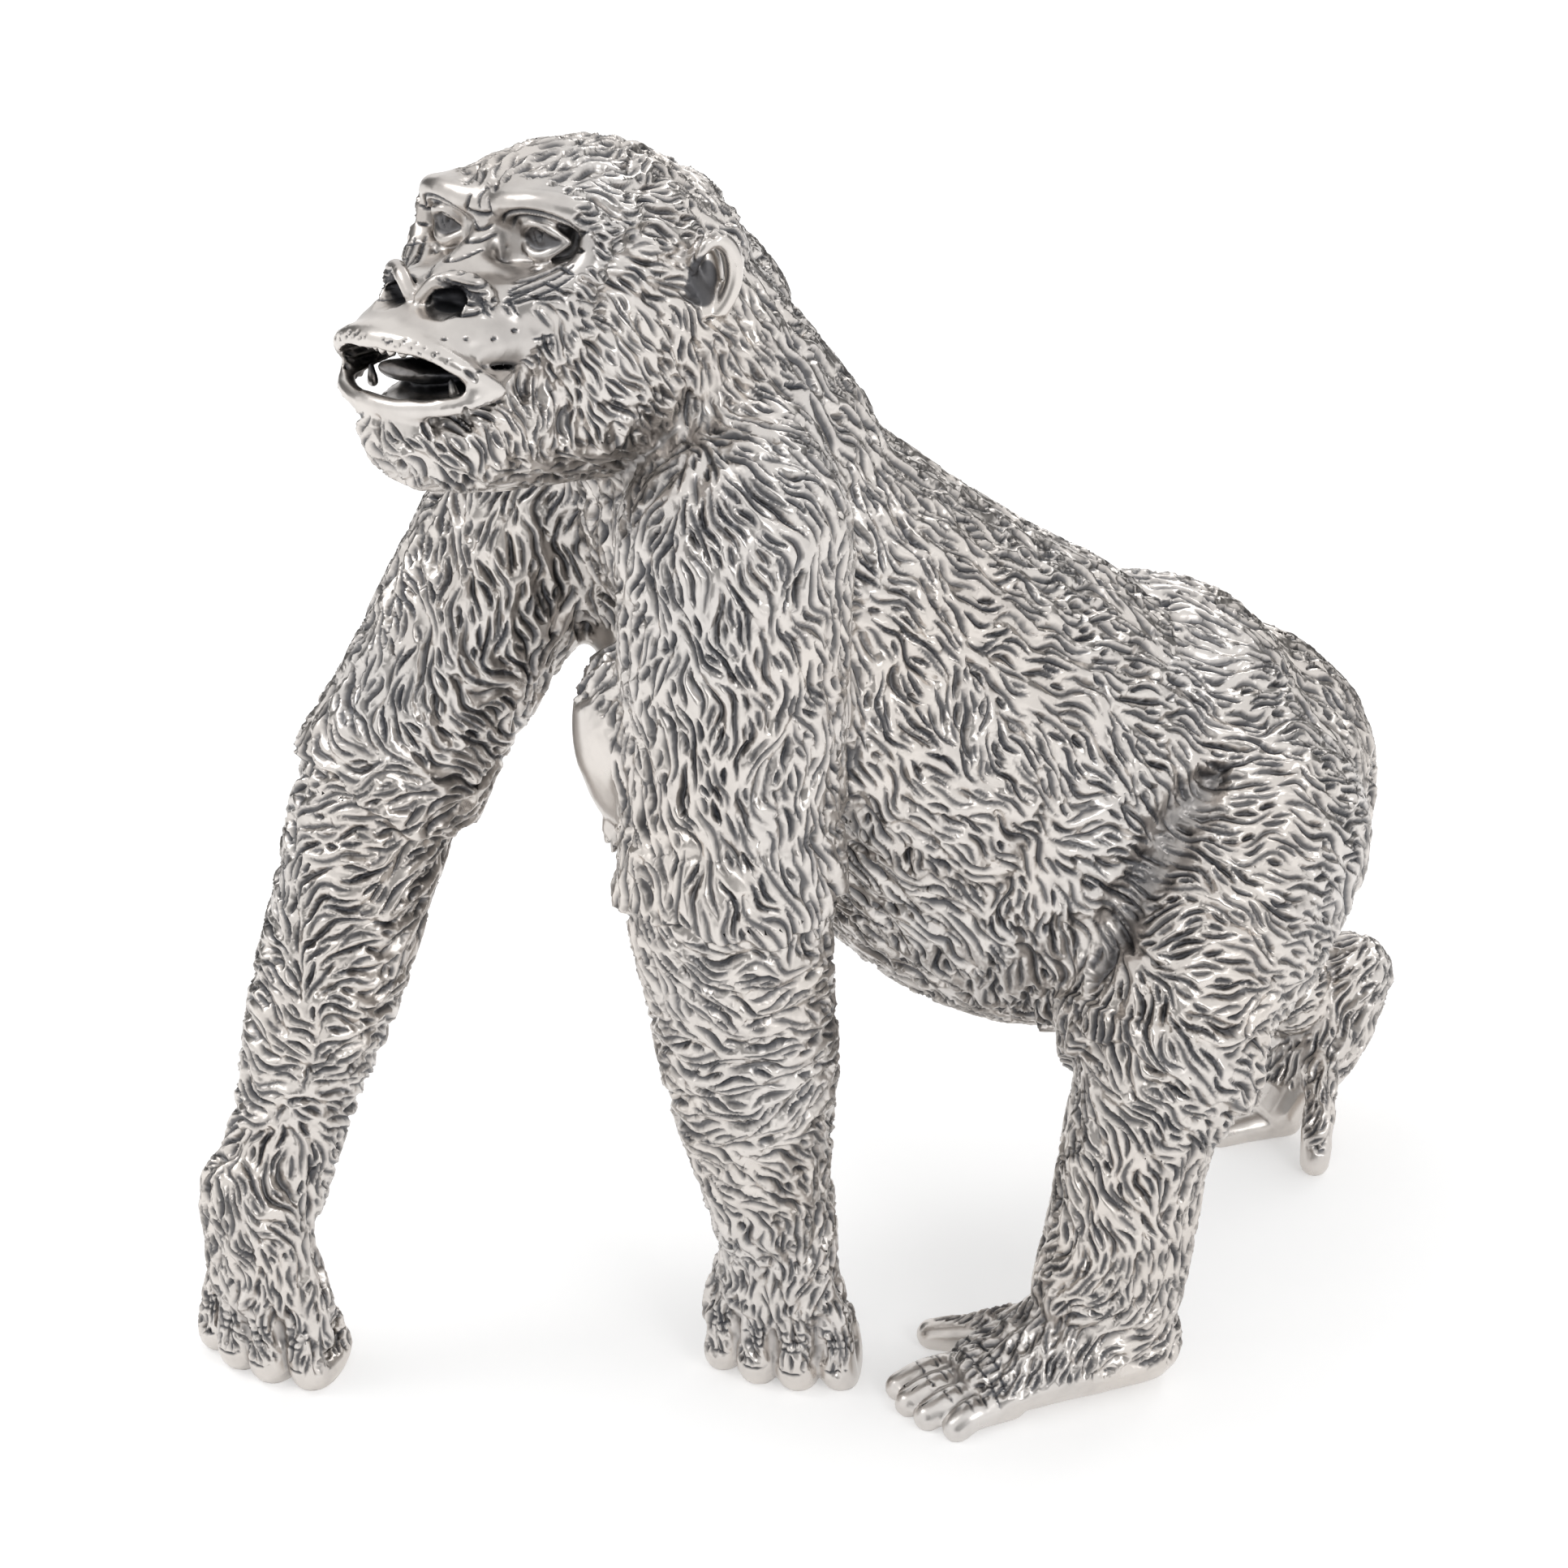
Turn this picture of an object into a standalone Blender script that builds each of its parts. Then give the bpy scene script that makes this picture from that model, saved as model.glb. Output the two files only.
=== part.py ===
# Gorilla figurine: one casting that walks on its knuckles, with its coat carved into the surface.
# x runs to its left, y to its back and z up. Lengths are millimetres until a mesh is made.
import math

import bpy
import numpy as np
from mathutils import Matrix, kdtree

MM = 0.001

# Trunk
SHOULDER_HEIGHT = 87.0      # centre of the shoulder joints
SHOULDER_SPREAD = 14.0      # from the middle to each shoulder joint
SHOULDER_SET = 14.0         # y of the shoulder joints
NECK_RADIUS = 11.2
CHEST_RADIUS = 16.2
BELLY_RADIUS = 21.2
PELVIS_RADIUS = 18.4
TRUNK_LENGTH = 52.5         # along y, from the root of the neck to the rump
HIP_HEIGHT = 47.0
HIP_SPREAD = 11.7
BREAST_RADIUS = 5.0
BREAST_DROP = 9.0
BREAST_STAGGER = 8.5        # the right one hangs this far behind the left
NIPPLE_RADIUS = 0.9

# Arms
ELBOW_HEIGHT = 53.5
WRIST_HEIGHT = 18.5
ARM_RADIUS = 9.5
FOREARM_RADIUS = 8.5
WRIST_RADIUS = 5.0
HAND_STRIDE = 21.0          # each hand stands this far before or behind the middle
HAND_SPREAD = 10.8
LEFT_HAND_TURN = 48.0       # degrees, from facing forward
RIGHT_HAND_TURN = 30.0
FINGER_RADIUS = 1.9
FINGER_PITCH = 3.05
KNUCKLE_HEIGHT = 10.5

# Legs
THIGH_RADIUS = 11.4
KNEE_HEIGHT = 33.0
KNEE_SPREAD = 21.5
KNEE_RADIUS = 8.4
SHIN_RADIUS = 6.2
ANKLE_HEIGHT = 9.5
FOOT_SET = 50.9             # y of the left ankle
FOOT_LENGTH = 16.0          # ankle to the root of the toes
FOOT_THICKNESS = 9.2
FOOT_WIDTH = 12.4
TOE_LENGTH = 6.6
TOE_RADIUS = 1.5
TOE_PITCH = 2.3
REAR_FOOT_SET = 84.0        # y of the ball of the right foot
HEEL_LIFT = 14.5            # the right foot stands on its toes

# Head
HEAD_WIDTH = 20.6
BROW_HEIGHT = 113.7         # the point between the brows
BROW_SET = -1.3
BROW_SIDE = 4.8
HEAD_TURN = 24.0            # degrees to its left
HEAD_TILT = 6.0             # degrees, with its left ear up
EYE_SPACING = 10.2
EYE_RADIUS = 1.95
MOUTH_WIDTH = 15.2
MOUTH_GAPE = 3.4
LIP_RADIUS = 0.9
EAR_HEIGHT = 6.6

# Surface
BODY_GRAIN = 0.9            # size of the cells that blend the big forms
FINE_GRAIN = 0.42           # size of the cells of the finished surface
LOCK_WIDTH = 3.1            # the carved locks of hair
LOCK_LENGTH = 8.5
LOCK_DEPTH = 1.0
FOOT_PRINT = 0.5            # how much of the toes, sole and knuckles is cut flat on the ground
GROUND_CLEARANCE = 1.0      # no hair is carved lower than this
FACE_COUNT = 11600

WAVES = (((0.6, 0.3, 0.7), 0.4), ((-0.5, 0.8, 0.2), 2.1), ((0.2, -0.6, 0.9), 4.0))

SILVER = (0.70, 0.685, 0.665)


def smooth_path(rows, steps=5):
    """A Catmull-Rom curve through rows of numbers."""
    p = np.array(rows, float)
    p = np.vstack([2*p[0]-p[1], p, 2*p[-1]-p[-2]])
    out = []
    for i in range(len(p)-3):
        a, b, c, d = p[i:i+4]
        for s in range(steps):
            t = s/steps
            out.append(0.5*(2*b + (c-a)*t + (2*a-5*b+4*c-d)*t*t + (3*b-a-3*c+d)*t**3))
    out.append(p[-2])
    return np.array(out)


class Clay:
    """Closed forms, pressed together into one mesh later."""

    def __init__(self):
        self.points, self.faces, self.count = [], [], 0

    def add(self, points, faces):
        self.points.append(points)
        self.faces += [[i+self.count for i in face] for face in faces]
        self.count += len(points)

    def tube(self, stations, side=(1, 0, 0), segments=20, put=None):
        """A round-ended tube through stations of x, y, z, half width and half depth."""
        rows = smooth_path([tuple(s) if len(s) == 5 else (*s, s[3]) for s in stations])
        centres, radii = rows[:, :3], np.maximum(rows[:, 3:], 0.05)
        along = np.gradient(centres, axis=0)
        along /= np.linalg.norm(along, axis=1)[:, None]
        angle = np.linspace(0, 2*np.pi, segments, endpoint=False)

        def ring(centre, direction, half, shrink, shift):
            across = np.array(side, float)
            across -= direction*(across @ direction)
            across /= np.linalg.norm(across)
            deep = np.cross(direction, across)
            return (centre + direction*shift + np.outer(np.cos(angle)*half[0]*shrink, across)
                    + np.outer(np.sin(angle)*half[1]*shrink, deep))

        cap_angles = np.radians((70, 45, 20))
        rings = [ring(centres[0], along[0], radii[0], math.cos(a), -math.sin(a)*radii[0].min())
                 for a in cap_angles]
        rings += [ring(c, d, r, 1, 0) for c, d, r in zip(centres, along, radii)]
        rings += [ring(centres[-1], along[-1], radii[-1], math.cos(a), math.sin(a)*radii[-1].min())
                  for a in cap_angles[::-1]]
        tips = [centres[0]-along[0]*radii[0].min(), centres[-1]+along[-1]*radii[-1].min()]
        points = np.vstack(rings+[tips])
        last, n = len(rings)-1, segments
        faces = [[i*n+j, i*n+(j+1) % n, (i+1)*n+(j+1) % n, (i+1)*n+j]
                 for i in range(last) for j in range(n)]
        faces += [[len(points)-2, (j+1) % n, j] for j in range(n)]
        faces += [[len(points)-1, last*n+j, last*n+(j+1) % n] for j in range(n)]
        self.add(put(points) if put else points, faces)

    def ball(self, centre, radii, tilt=0.0, axis="X", put=None, rings=12, segments=24):
        """An ellipsoid, tilted about one axis."""
        polar = np.linspace(0, np.pi, rings+1)[1:-1]
        turn = np.linspace(0, 2*np.pi, segments, endpoint=False)
        points = [(math.sin(a)*math.cos(b), math.sin(a)*math.sin(b), math.cos(a))
                  for a in polar for b in turn]
        points = np.array(points+[(0, 0, 1), (0, 0, -1)])*np.array(radii)
        points = points @ np.array(Matrix.Rotation(math.radians(tilt), 3, axis)).T + np.array(centre)
        n, last = segments, rings-2
        faces = [[i*n+j, (i+1)*n+j, (i+1)*n+(j+1) % n, i*n+(j+1) % n]
                 for i in range(last) for j in range(n)]
        faces += [[len(points)-2, j, (j+1) % n] for j in range(n)]
        faces += [[len(points)-1, last*n+(j+1) % n, last*n+j] for j in range(n)]
        self.add(put(points) if put else points, faces)

    def to_object(self, name):
        mesh = bpy.data.meshes.new(name)
        mesh.from_pydata((np.vstack(self.points)*MM).tolist(), [], self.faces)
        made = bpy.data.objects.new(name, mesh)
        bpy.context.scene.collection.objects.link(made)
        return made


def turning(turn, tilt=0.0):
    """The matrix of a sideways tilt and then a turn about the upright."""
    sideways = Matrix.Rotation(math.radians(turn), 3, "Z")
    return np.array(sideways @ Matrix.Rotation(-math.radians(tilt), 3, "Y"))


def frame_at(place, turn, tilt=0.0):
    """A function that moves local points to a place, tilted and turned."""
    turned = turning(turn, tilt)
    return lambda points: np.atleast_2d(points) @ turned.T + np.array(place, float)


def mix(a, b, share):
    return np.array(a)*(1-share) + np.array(b)*share


def stance():
    """The joints of the pose, by name."""
    neck_y = 21.0
    trunk = {share: neck_y+TRUNK_LENGTH*share for share in (0.0, 0.21, 0.42, 0.62, 0.83, 1.0)}
    return {
        "trunk": trunk,
        "left_shoulder": (SHOULDER_SPREAD, SHOULDER_SET+1.8, SHOULDER_HEIGHT),
        "left_elbow": (SHOULDER_SPREAD+1.6, SHOULDER_SET+0.4, ELBOW_HEIGHT),
        "left_wrist": (HAND_SPREAD, HAND_STRIDE-0.8, WRIST_HEIGHT),
        "left_hand": (HAND_SPREAD-0.3, HAND_STRIDE+0.4, 0.0),
        "right_shoulder": (-SHOULDER_SPREAD+0.5, SHOULDER_SET-0.6, SHOULDER_HEIGHT-0.5),
        "right_elbow": (-SHOULDER_SPREAD-2.8, SHOULDER_SET-19.0, ELBOW_HEIGHT),
        "right_wrist": (-HAND_SPREAD-1.1, 2.0-HAND_STRIDE, WRIST_HEIGHT),
        "right_hand": (-HAND_SPREAD-0.3, -HAND_STRIDE, 0.0),
        "left_hip": (HIP_SPREAD, trunk[0.83]+2.4, HIP_HEIGHT+1.0),
        "left_knee": (KNEE_SPREAD, FOOT_SET+1.9, KNEE_HEIGHT),
        "left_ankle": (KNEE_SPREAD+1.0, FOOT_SET, ANKLE_HEIGHT),
        "right_hip": (-HIP_SPREAD, trunk[0.83]+2.4, HIP_HEIGHT+1.0),
        "right_knee": (2.4-HIP_SPREAD-5.0, trunk[0.83]-7.5, KNEE_HEIGHT-1.5),
        "right_ankle": (-HIP_SPREAD+2.1, REAR_FOOT_SET+2.0, HEEL_LIFT+1.0),
        "brow": (BROW_SIDE, BROW_SET, BROW_HEIGHT),
    }


def press_trunk(clay, joints):
    """Neck, chest, belly, rump and breasts."""
    y = joints["trunk"]
    clay.tube([
        (0, y[0.0], SHOULDER_HEIGHT-3.2, CHEST_RADIUS*0.89, CHEST_RADIUS*0.78),
        (0, y[0.21], SHOULDER_HEIGHT-14.8, CHEST_RADIUS*1.01, CHEST_RADIUS*0.91),
        (0, y[0.42]-0.8, SHOULDER_HEIGHT-28.4, BELLY_RADIUS*0.88, BELLY_RADIUS*0.95),
        (0, y[0.62]-0.4, HIP_HEIGHT+1.2, BELLY_RADIUS*0.95, BELLY_RADIUS),
        (0, y[0.83]+0.4, HIP_HEIGHT+1.5, PELVIS_RADIUS, PELVIS_RADIUS*1.04),
        (0, y[1.0]-1.8, HIP_HEIGHT+0.2, PELVIS_RADIUS*0.83, PELVIS_RADIUS*0.78)], segments=32)
    clay.tube([
        (1.6, y[0.0]-10, SHOULDER_HEIGHT+16.5, NECK_RADIUS*0.9),
        (0.8, y[0.0]-4.5, SHOULDER_HEIGHT+9.2, NECK_RADIUS),
        (0, y[0.0]+1, SHOULDER_HEIGHT-1.2, CHEST_RADIUS*0.82, NECK_RADIUS*1.18)], segments=28)
    for side, name in ((1, "left_shoulder"), (-1, "right_shoulder")):
        x, shoulder_y, z = joints[name]
        clay.tube([
            (side*3, y[0.0]-1, z+6, 5.6, 6.4),
            (x*0.66, (y[0.0]+shoulder_y)/2+0.5, z+3.6, 7.2),
            (x, shoulder_y, z, ARM_RADIUS*0.9, ARM_RADIUS*0.94)], side=(0, 1, 0))
        wide = CHEST_RADIUS*side
        full = CHEST_RADIUS*(1.0 if side > 0 else 0.86)
        clay.tube([
            (wide*0.5, y[0.0]-4.4, SHOULDER_HEIGHT-10, full*0.48, full*0.5),
            (wide*0.56, y[0.21]-4.4, SHOULDER_HEIGHT-20, full*0.54, full*0.54),
            (wide*0.62, y[0.42]-3.6, SHOULDER_HEIGHT-29, full*0.6, full*0.76)])
        set_back = 0 if side > 0 else BREAST_STAGGER
        breast = (side*CHEST_RADIUS*0.42, y[0.0]-11.6+set_back, SHOULDER_HEIGHT-16.5)
        clay.tube([
            (*breast, BREAST_RADIUS),
            (breast[0]+side*0.5, breast[1]-1.2, breast[2]-BREAST_DROP*0.5, BREAST_RADIUS*0.86),
            (breast[0]+side*0.6, breast[1]-1.6, breast[2]-BREAST_DROP, BREAST_RADIUS*0.5)],
            side=(1, 0, 0))


def press_limbs(clay, joints):
    """Arms to the wrists and legs to the ankles."""
    for side in ("left", "right"):
        shoulder, elbow, wrist = (joints[side+"_"+name] for name in ("shoulder", "elbow", "wrist"))
        girth, lower = (1.0, 1.0) if side == "left" else (0.93, 0.87)
        clay.tube([
            (*shoulder, ARM_RADIUS*girth, ARM_RADIUS*1.06*girth),
            (*mix(shoulder, elbow, 0.33), ARM_RADIUS*girth, ARM_RADIUS*1.03*girth),
            (*mix(shoulder, elbow, 0.67), ARM_RADIUS*0.94*girth, ARM_RADIUS*1.0*girth),
            (*elbow, FOREARM_RADIUS*1.03*lower, FOREARM_RADIUS*1.06*lower),
            (*mix(elbow, wrist, 0.24), FOREARM_RADIUS*1.0*lower, FOREARM_RADIUS*0.98*lower),
            (*mix(elbow, wrist, 0.52), FOREARM_RADIUS*0.92*lower, FOREARM_RADIUS*0.93*lower),
            (*mix(elbow, wrist, 0.8), FOREARM_RADIUS*0.72*lower, FOREARM_RADIUS*0.76*lower),
            (*wrist, WRIST_RADIUS, WRIST_RADIUS*1.1)])
    hip, knee, ankle = (joints["left_"+name] for name in ("hip", "knee", "ankle"))
    clay.tube([
        (*hip, THIGH_RADIUS, THIGH_RADIUS*1.14),
        (*mix(hip, (knee[0], knee[1], knee[2]+3), 0.5), THIGH_RADIUS, THIGH_RADIUS*1.06),
        (knee[0]-1, knee[1]+2, knee[2]+4, THIGH_RADIUS*0.85, THIGH_RADIUS*0.86),
        (knee[0]+0.4, knee[1]+0.7, knee[2]-2.5, KNEE_RADIUS*0.97),
        (*(mix(knee, ankle, 0.34)-(0, 0.7, 0)), SHIN_RADIUS*1.04, SHIN_RADIUS*1.16),
        (*(mix(knee, ankle, 0.7)-(0, 1.5, 0)), SHIN_RADIUS*0.98, SHIN_RADIUS*1.18),
        (ankle[0], ankle[1]-2.4, ankle[2], SHIN_RADIUS*0.92, SHIN_RADIUS*1.24)])
    hip, knee, ankle = (joints["right_"+name] for name in ("hip", "knee", "ankle"))
    clay.tube([
        (*hip, THIGH_RADIUS, THIGH_RADIUS*1.14),
        (*mix(hip, knee, 0.55), THIGH_RADIUS*0.94, THIGH_RADIUS),
        (*knee, KNEE_RADIUS*1.02, KNEE_RADIUS*1.04),
        (*mix(knee, ankle, 0.36), SHIN_RADIUS*1.22),
        (*mix(knee, ankle, 0.74), SHIN_RADIUS*1.02),
        (*ankle, SHIN_RADIUS*0.86)])


def press_hand(clay, place, back, thumb):
    """A fist on its knuckles. back is the turn of its outer face, thumb the side of the thumb."""
    put = frame_at(place, back)
    palm = FINGER_PITCH*1.6
    clay.tube([
        (0, 0.3, WRIST_HEIGHT+0.6, WRIST_RADIUS*1.02, WRIST_RADIUS),
        (thumb*0.3, 0.4, (WRIST_HEIGHT+KNUCKLE_HEIGHT)/2-0.4, palm*1.14, palm*0.88),
        (0, 0.2, KNUCKLE_HEIGHT-1, palm*1.18, palm*0.68)], put=put)
    for place_in_row in (-1.5, -0.5, 0.5, 1.5):
        outer = abs(place_in_row) > 1
        x = place_in_row*FINGER_PITCH
        set_back = 0.9 if outer else -0.2
        radius = FINGER_RADIUS*(0.88 if outer else 0.98)
        clay.tube([
            (x*0.9, set_back+0.2, KNUCKLE_HEIGHT, radius),
            (x*1.12, set_back-0.7, KNUCKLE_HEIGHT*0.57, radius),
            (x*1.22, set_back-0.6, radius*1.1, radius*1.05),
            (x*1.18, set_back+1.9, radius*0.8, radius*0.95),
            (x*1.06, set_back+4.1, radius*1.4, radius*0.85),
            (x*0.95, set_back+3.9, KNUCKLE_HEIGHT*0.5, radius*0.8)], segments=12, put=put)
    clay.tube([
        (thumb*palm*0.84, 1.5, KNUCKLE_HEIGHT+2.5, FINGER_RADIUS),
        (thumb*palm*1.2, 1.4, KNUCKLE_HEIGHT-1.5, FINGER_RADIUS*0.9),
        (thumb*palm*1.32, 1.0, KNUCKLE_HEIGHT*0.53, FINGER_RADIUS*0.72)], segments=12, put=put)


def press_left_foot(clay, joints):
    """Flat on the ground, with four toes in front and the great toe to the inside."""
    x, y, _ = joints["left_ankle"]
    half = FOOT_WIDTH/2
    thick = FOOT_THICKNESS/2
    front = y-FOOT_LENGTH
    clay.tube([
        (x+0.7, y+0.1, thick*1.02, half*0.8, thick),
        (x, y-FOOT_LENGTH*0.34, thick*1.1, half*0.9, thick*1.1),
        (x-0.9, front+1.8, thick*0.66, half*0.84, thick*0.62)])
    clay.tube([(x, y-0.5, ANKLE_HEIGHT+4, SHIN_RADIUS*0.88),
               (x-0.5, y-5.0, thick*1.62, half*0.74, thick*0.95),
               (x-0.8, y-10, thick*1.1, half*0.72, thick*0.7)])
    for i in range(4):
        root_x = x+half*0.44-i*TOE_PITCH
        splay = (i-1.4)*-0.3
        reach = TOE_LENGTH*(0.62, 0.86, 0.95, 0.9)[i]
        clay.tube([
            (root_x, front+2.5, TOE_RADIUS*1.4, TOE_RADIUS),
            (root_x+splay*0.6, front+1-reach*0.55, TOE_RADIUS*1.5, TOE_RADIUS),
            (root_x+splay, front+1-reach, TOE_RADIUS*0.98, TOE_RADIUS*0.92)], segments=12)
    clay.tube([
        (x-half*0.5, y-5.0, thick*0.95, TOE_RADIUS*1.8),
        (x-half*1.05, y-9.0, thick*0.72, TOE_RADIUS*1.55),
        (x-half*1.45, y-12.2, TOE_RADIUS*1.4, TOE_RADIUS*1.25),
        (x-half*1.72, y-14.6, TOE_RADIUS*1.1, TOE_RADIUS)], segments=14)


def press_right_foot(clay, joints):
    """Pushing off: the heel is up and the toes are on the ground."""
    x, y, z = joints["right_ankle"]
    half = FOOT_WIDTH/2
    clay.tube([
        (x+0.5, y+7.2, HEEL_LIFT+0.9, half*0.72, half*0.76),
        (x+0.3, y+3.8, HEEL_LIFT*0.62, half*0.84, half*0.8),
        (x-0.2, REAR_FOOT_SET+0.6, FOOT_THICKNESS*0.4, half*0.95, FOOT_THICKNESS*0.34)])
    for i in range(4):
        side = (i-1.4)*TOE_PITCH
        clay.tube([
            (x+side, REAR_FOOT_SET+1, TOE_RADIUS*1.4, TOE_RADIUS),
            (x-1.4+side*1.15, REAR_FOOT_SET-TOE_LENGTH*0.4, TOE_RADIUS*1.3, TOE_RADIUS),
            (x-2.4+side*1.25, REAR_FOOT_SET-TOE_LENGTH*0.88, TOE_RADIUS*0.98, TOE_RADIUS*0.9)],
            segments=12)
    clay.tube([
        (x+half*0.5, REAR_FOOT_SET+4.6, HEEL_LIFT*0.62, TOE_RADIUS*1.4),
        (x+half*1.2, REAR_FOOT_SET+2.2, HEEL_LIFT*0.5, TOE_RADIUS*1.2),
        (x+half*1.6, REAR_FOOT_SET+0.6, HEEL_LIFT*0.3, TOE_RADIUS*1.1),
        (x+half*1.72, REAR_FOOT_SET, TOE_RADIUS*1.1, TOE_RADIUS)], segments=14)


def press_head(clay, put, u):
    """Skull, brow, cheeks and jaws. u is one unit of the face."""
    def ball(centre, radii, tilt=0.0, axis="X"):
        clay.ball(np.array(centre)*u, np.array(radii)*u, tilt, axis, put)

    def tube(stations, side=(1, 0, 0)):
        clay.tube([tuple(np.array(s)*u) for s in stations], side, 16, put)

    ball((0, 10.6, -7.1), (10.2, 11.2, 10.8))
    ball((0, 7.6, -3.4), (9.0, 8.0, 7.6))
    ball((0, 17.0, -9.8), (9.6, 8.8, 10.4))
    tube([(0, 16, -9.6, 9.0, 9.2), (-2, 24, -15.6, 9.0, 8.8)])
    tube([(-7.2, 7.4, -1.8, 2.2), (-4.0, 5.6, 0.4, 2.7), (0, 5.2, 1.2, 2.8), (4.0, 5.6, 0.4, 2.7),
          (7.2, 7.4, -1.8, 2.2)], (0, 0, 1))
    ball((0, 2.8, 0.7), (8.4, 3.1, 2.4))
    tube([(-9.4, 4.8, -2.2, 1.2), (-8.3, 2.4, 0.3, 1.3), (-5.8, 0.6, 1.3, 1.2), (-2.8, 0.1, 1.2, 1.2),
          (0, 0.5, 0.7, 1.3), (2.8, 0.1, 1.2, 1.2), (5.8, 0.6, 1.3, 1.2), (8.3, 2.4, 0.3, 1.3),
          (9.4, 4.8, -2.2, 1.2)], (0, 0, 1))
    for side in (-1, 1):
        tube([(side*9.2, 3.0, -0.6, 1.4), (side*9.3, 2.3, -3.0, 1.6), (side*8.5, 0.8, -4.9, 2.0),
              (side*6.3, -1.6, -6.0, 2.3), (side*4.0, -4.2, -5.8, 2.0)], (0, 0, 1))
        tube([(side*1.9, -2.4, -3.9, 1.2), (side*4.4, -0.8, -4.7, 1.2), (side*7.0, 0.8, -4.4, 1.4)],
             (0, 0, 1))
        ball((side*5.0, 1.4, -8.6), (4.4, 5.8, 4.8))
        ball((side*6.4, 8.0, -13.2), (4.4, 8.6, 8.0))
        ball((side*2.9, -4.6, -5.8), (3.0, 4.6, 2.4), -8)
    tube([(0, 1.6, -1.2, 1.7), (0, -2.2, -2.9, 1.6, 1.3), (0, -5.2, -3.9, 1.9, 1.2),
          (0, -7.4, -4.6, 1.5, 1.0)])
    tube([(0, 0, -8.4, 7.2, 4.4), (0, -5, -8.0, 7.2, 3.9), (0, -9, -7.6, 6.6, 3.0),
          (0, -11.6, -7.0, 4.6, 1.6)])
    tube([(0, 0, -14.4, 6.8, 6.0), (0, -5, -15.8, 7.0, 5.4), (0, -9.4, -15.6, 6.4, 4.3),
          (0, -12.0, -14.6, 4.6, 2.6)])
    half = MOUTH_WIDTH/2/u
    upper = -6.6
    lower = upper-MOUTH_GAPE/u-2*LIP_RADIUS/u
    lip = LIP_RADIUS/u
    for front, level in ((-12.7, upper), (-13.2, lower)):
        near, far = mix(-10.9, level, 0.93), mix(-10.9, level, 0.55)
        tube([(-half, -7.9, -11.0, lip), (-half*0.86, -10.8, far, lip), (-half*0.5, front+0.6, near, lip),
              (0, front, level, lip),
              (half*0.5, front+0.6, near, lip), (half*0.86, -10.8, far, lip), (half, -7.9, -11.0, lip)],
             (0, 0, 1))
    tube([(0, -3, -17.4, 6.4, 4.6), (0, 7, -17.6, 8.0, 6.4), (-1.5, 15, -19, 9, 7)])


def press_face(clay, put, u):
    """Tongue, nose, eyes and eyelids, laid over the carved openings."""
    def tube(stations, side=(0, 0, 1), segments=12):
        clay.tube([tuple(np.array(s)*u) for s in stations], side, segments, put)

    tube([(0, -3, -12.2, 3.2, 1.4), (-0.6, -7, -10.9, 3.0, 1.1), (-0.8, -10.4, -9.9, 2.4, 0.8)],
         (1, 0, 0))
    for side in (-1, 1):
        tube([(side*0.6, -8.4, -4.3, 0.6), (side*2.0, -7.8, -3.1, 0.65), (side*4.1, -6.5, -3.2, 0.8),
              (side*5.2, -5.9, -4.8, 1.0), (side*4.3, -7.1, -6.2, 0.9), (side*2.3, -8.6, -6.3, 0.65)])
        eye = np.array((side*EYE_SPACING/2/u, 2.1, -1.4))
        radius = EYE_RADIUS/u
        clay.ball(put(eye*u)[0], [EYE_RADIUS]*3)
        for lift in (1, -1):
            tube([(eye[0]-side*radius*1.08, eye[1]-radius*0.5, eye[2]-0.4, 0.36),
                  (eye[0]-side*radius*0.56, eye[1]-radius*0.92, eye[2]+lift*radius*0.47-0.1, 0.44),
                  (eye[0], eye[1]-radius*1.03, eye[2]+lift*radius*0.68-0.05, 0.48),
                  (eye[0]+side*radius*0.56, eye[1]-radius*0.84, eye[2]+lift*radius*0.52-0.1, 0.44),
                  (eye[0]+side*radius*1.08, eye[1]-radius*0.25, eye[2]-0.4, 0.36)])


def press_ears(clay, put, u):
    """A thin shell that curls forward round a deep bowl."""
    high = EAR_HEIGHT/2
    for side in (-1, 1):
        middle = np.array((side*9.9*u, 13.4*u, -7.4*u))
        rim = [(0.1, -1.4, 0.30, 0.6), (0.9, -1.2, 0.78, 0.75), (1.5, 0.2, 1.0, 0.8),
               (1.9, 1.5, 0.62, 0.8), (1.9, 1.7, -0.05, 0.75), (1.4, 0.9, -0.66, 0.75),
               (0.6, -0.3, -1.0, 0.8), (0.0, -1.0, -0.75, 0.7)]
        clay.tube([(middle[0]+side*x*u, middle[1]+y*u, middle[2]+z*high, r*u) for x, y, z, r in rim],
                  (0, 1, 0), 12, put)
        clay.ball(middle+np.array((side*0.1*u, 0.9*u, 0)), (0.8*u, 1.3*u, high*0.8), put=put)


def evaluated(thing):
    """The object's mesh with its modifiers applied."""
    depsgraph = bpy.context.evaluated_depsgraph_get()
    depsgraph.update()
    return bpy.data.meshes.new_from_object(thing.evaluated_get(depsgraph))


def blend(thing, grain, smoothing):
    """Melts overlapping forms into one skin."""
    remesh = thing.modifiers.new("Blend", "REMESH")
    remesh.mode = "VOXEL"
    remesh.voxel_size = grain*MM
    if smoothing:
        soften = thing.modifiers.new("Soften", "SMOOTH")
        soften.factor = 0.5
        soften.iterations = smoothing
    thing.data = evaluated(thing)
    thing.modifiers.clear()
    return thing


def join(things):
    with bpy.context.temp_override(active_object=things[0], selected_editable_objects=things):
        bpy.ops.object.join()
    return things[0]


def cut(thing, cutter):
    """Takes the cutter's shape out of the thing."""
    cutter.hide_render = True
    cutter.display_type = "WIRE"
    boolean = thing.modifiers.new("Cut", "BOOLEAN")
    boolean.operation = "DIFFERENCE"
    boolean.object = cutter
    thing.data = evaluated(thing)
    thing.modifiers.clear()
    bpy.data.objects.remove(cutter)


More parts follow.
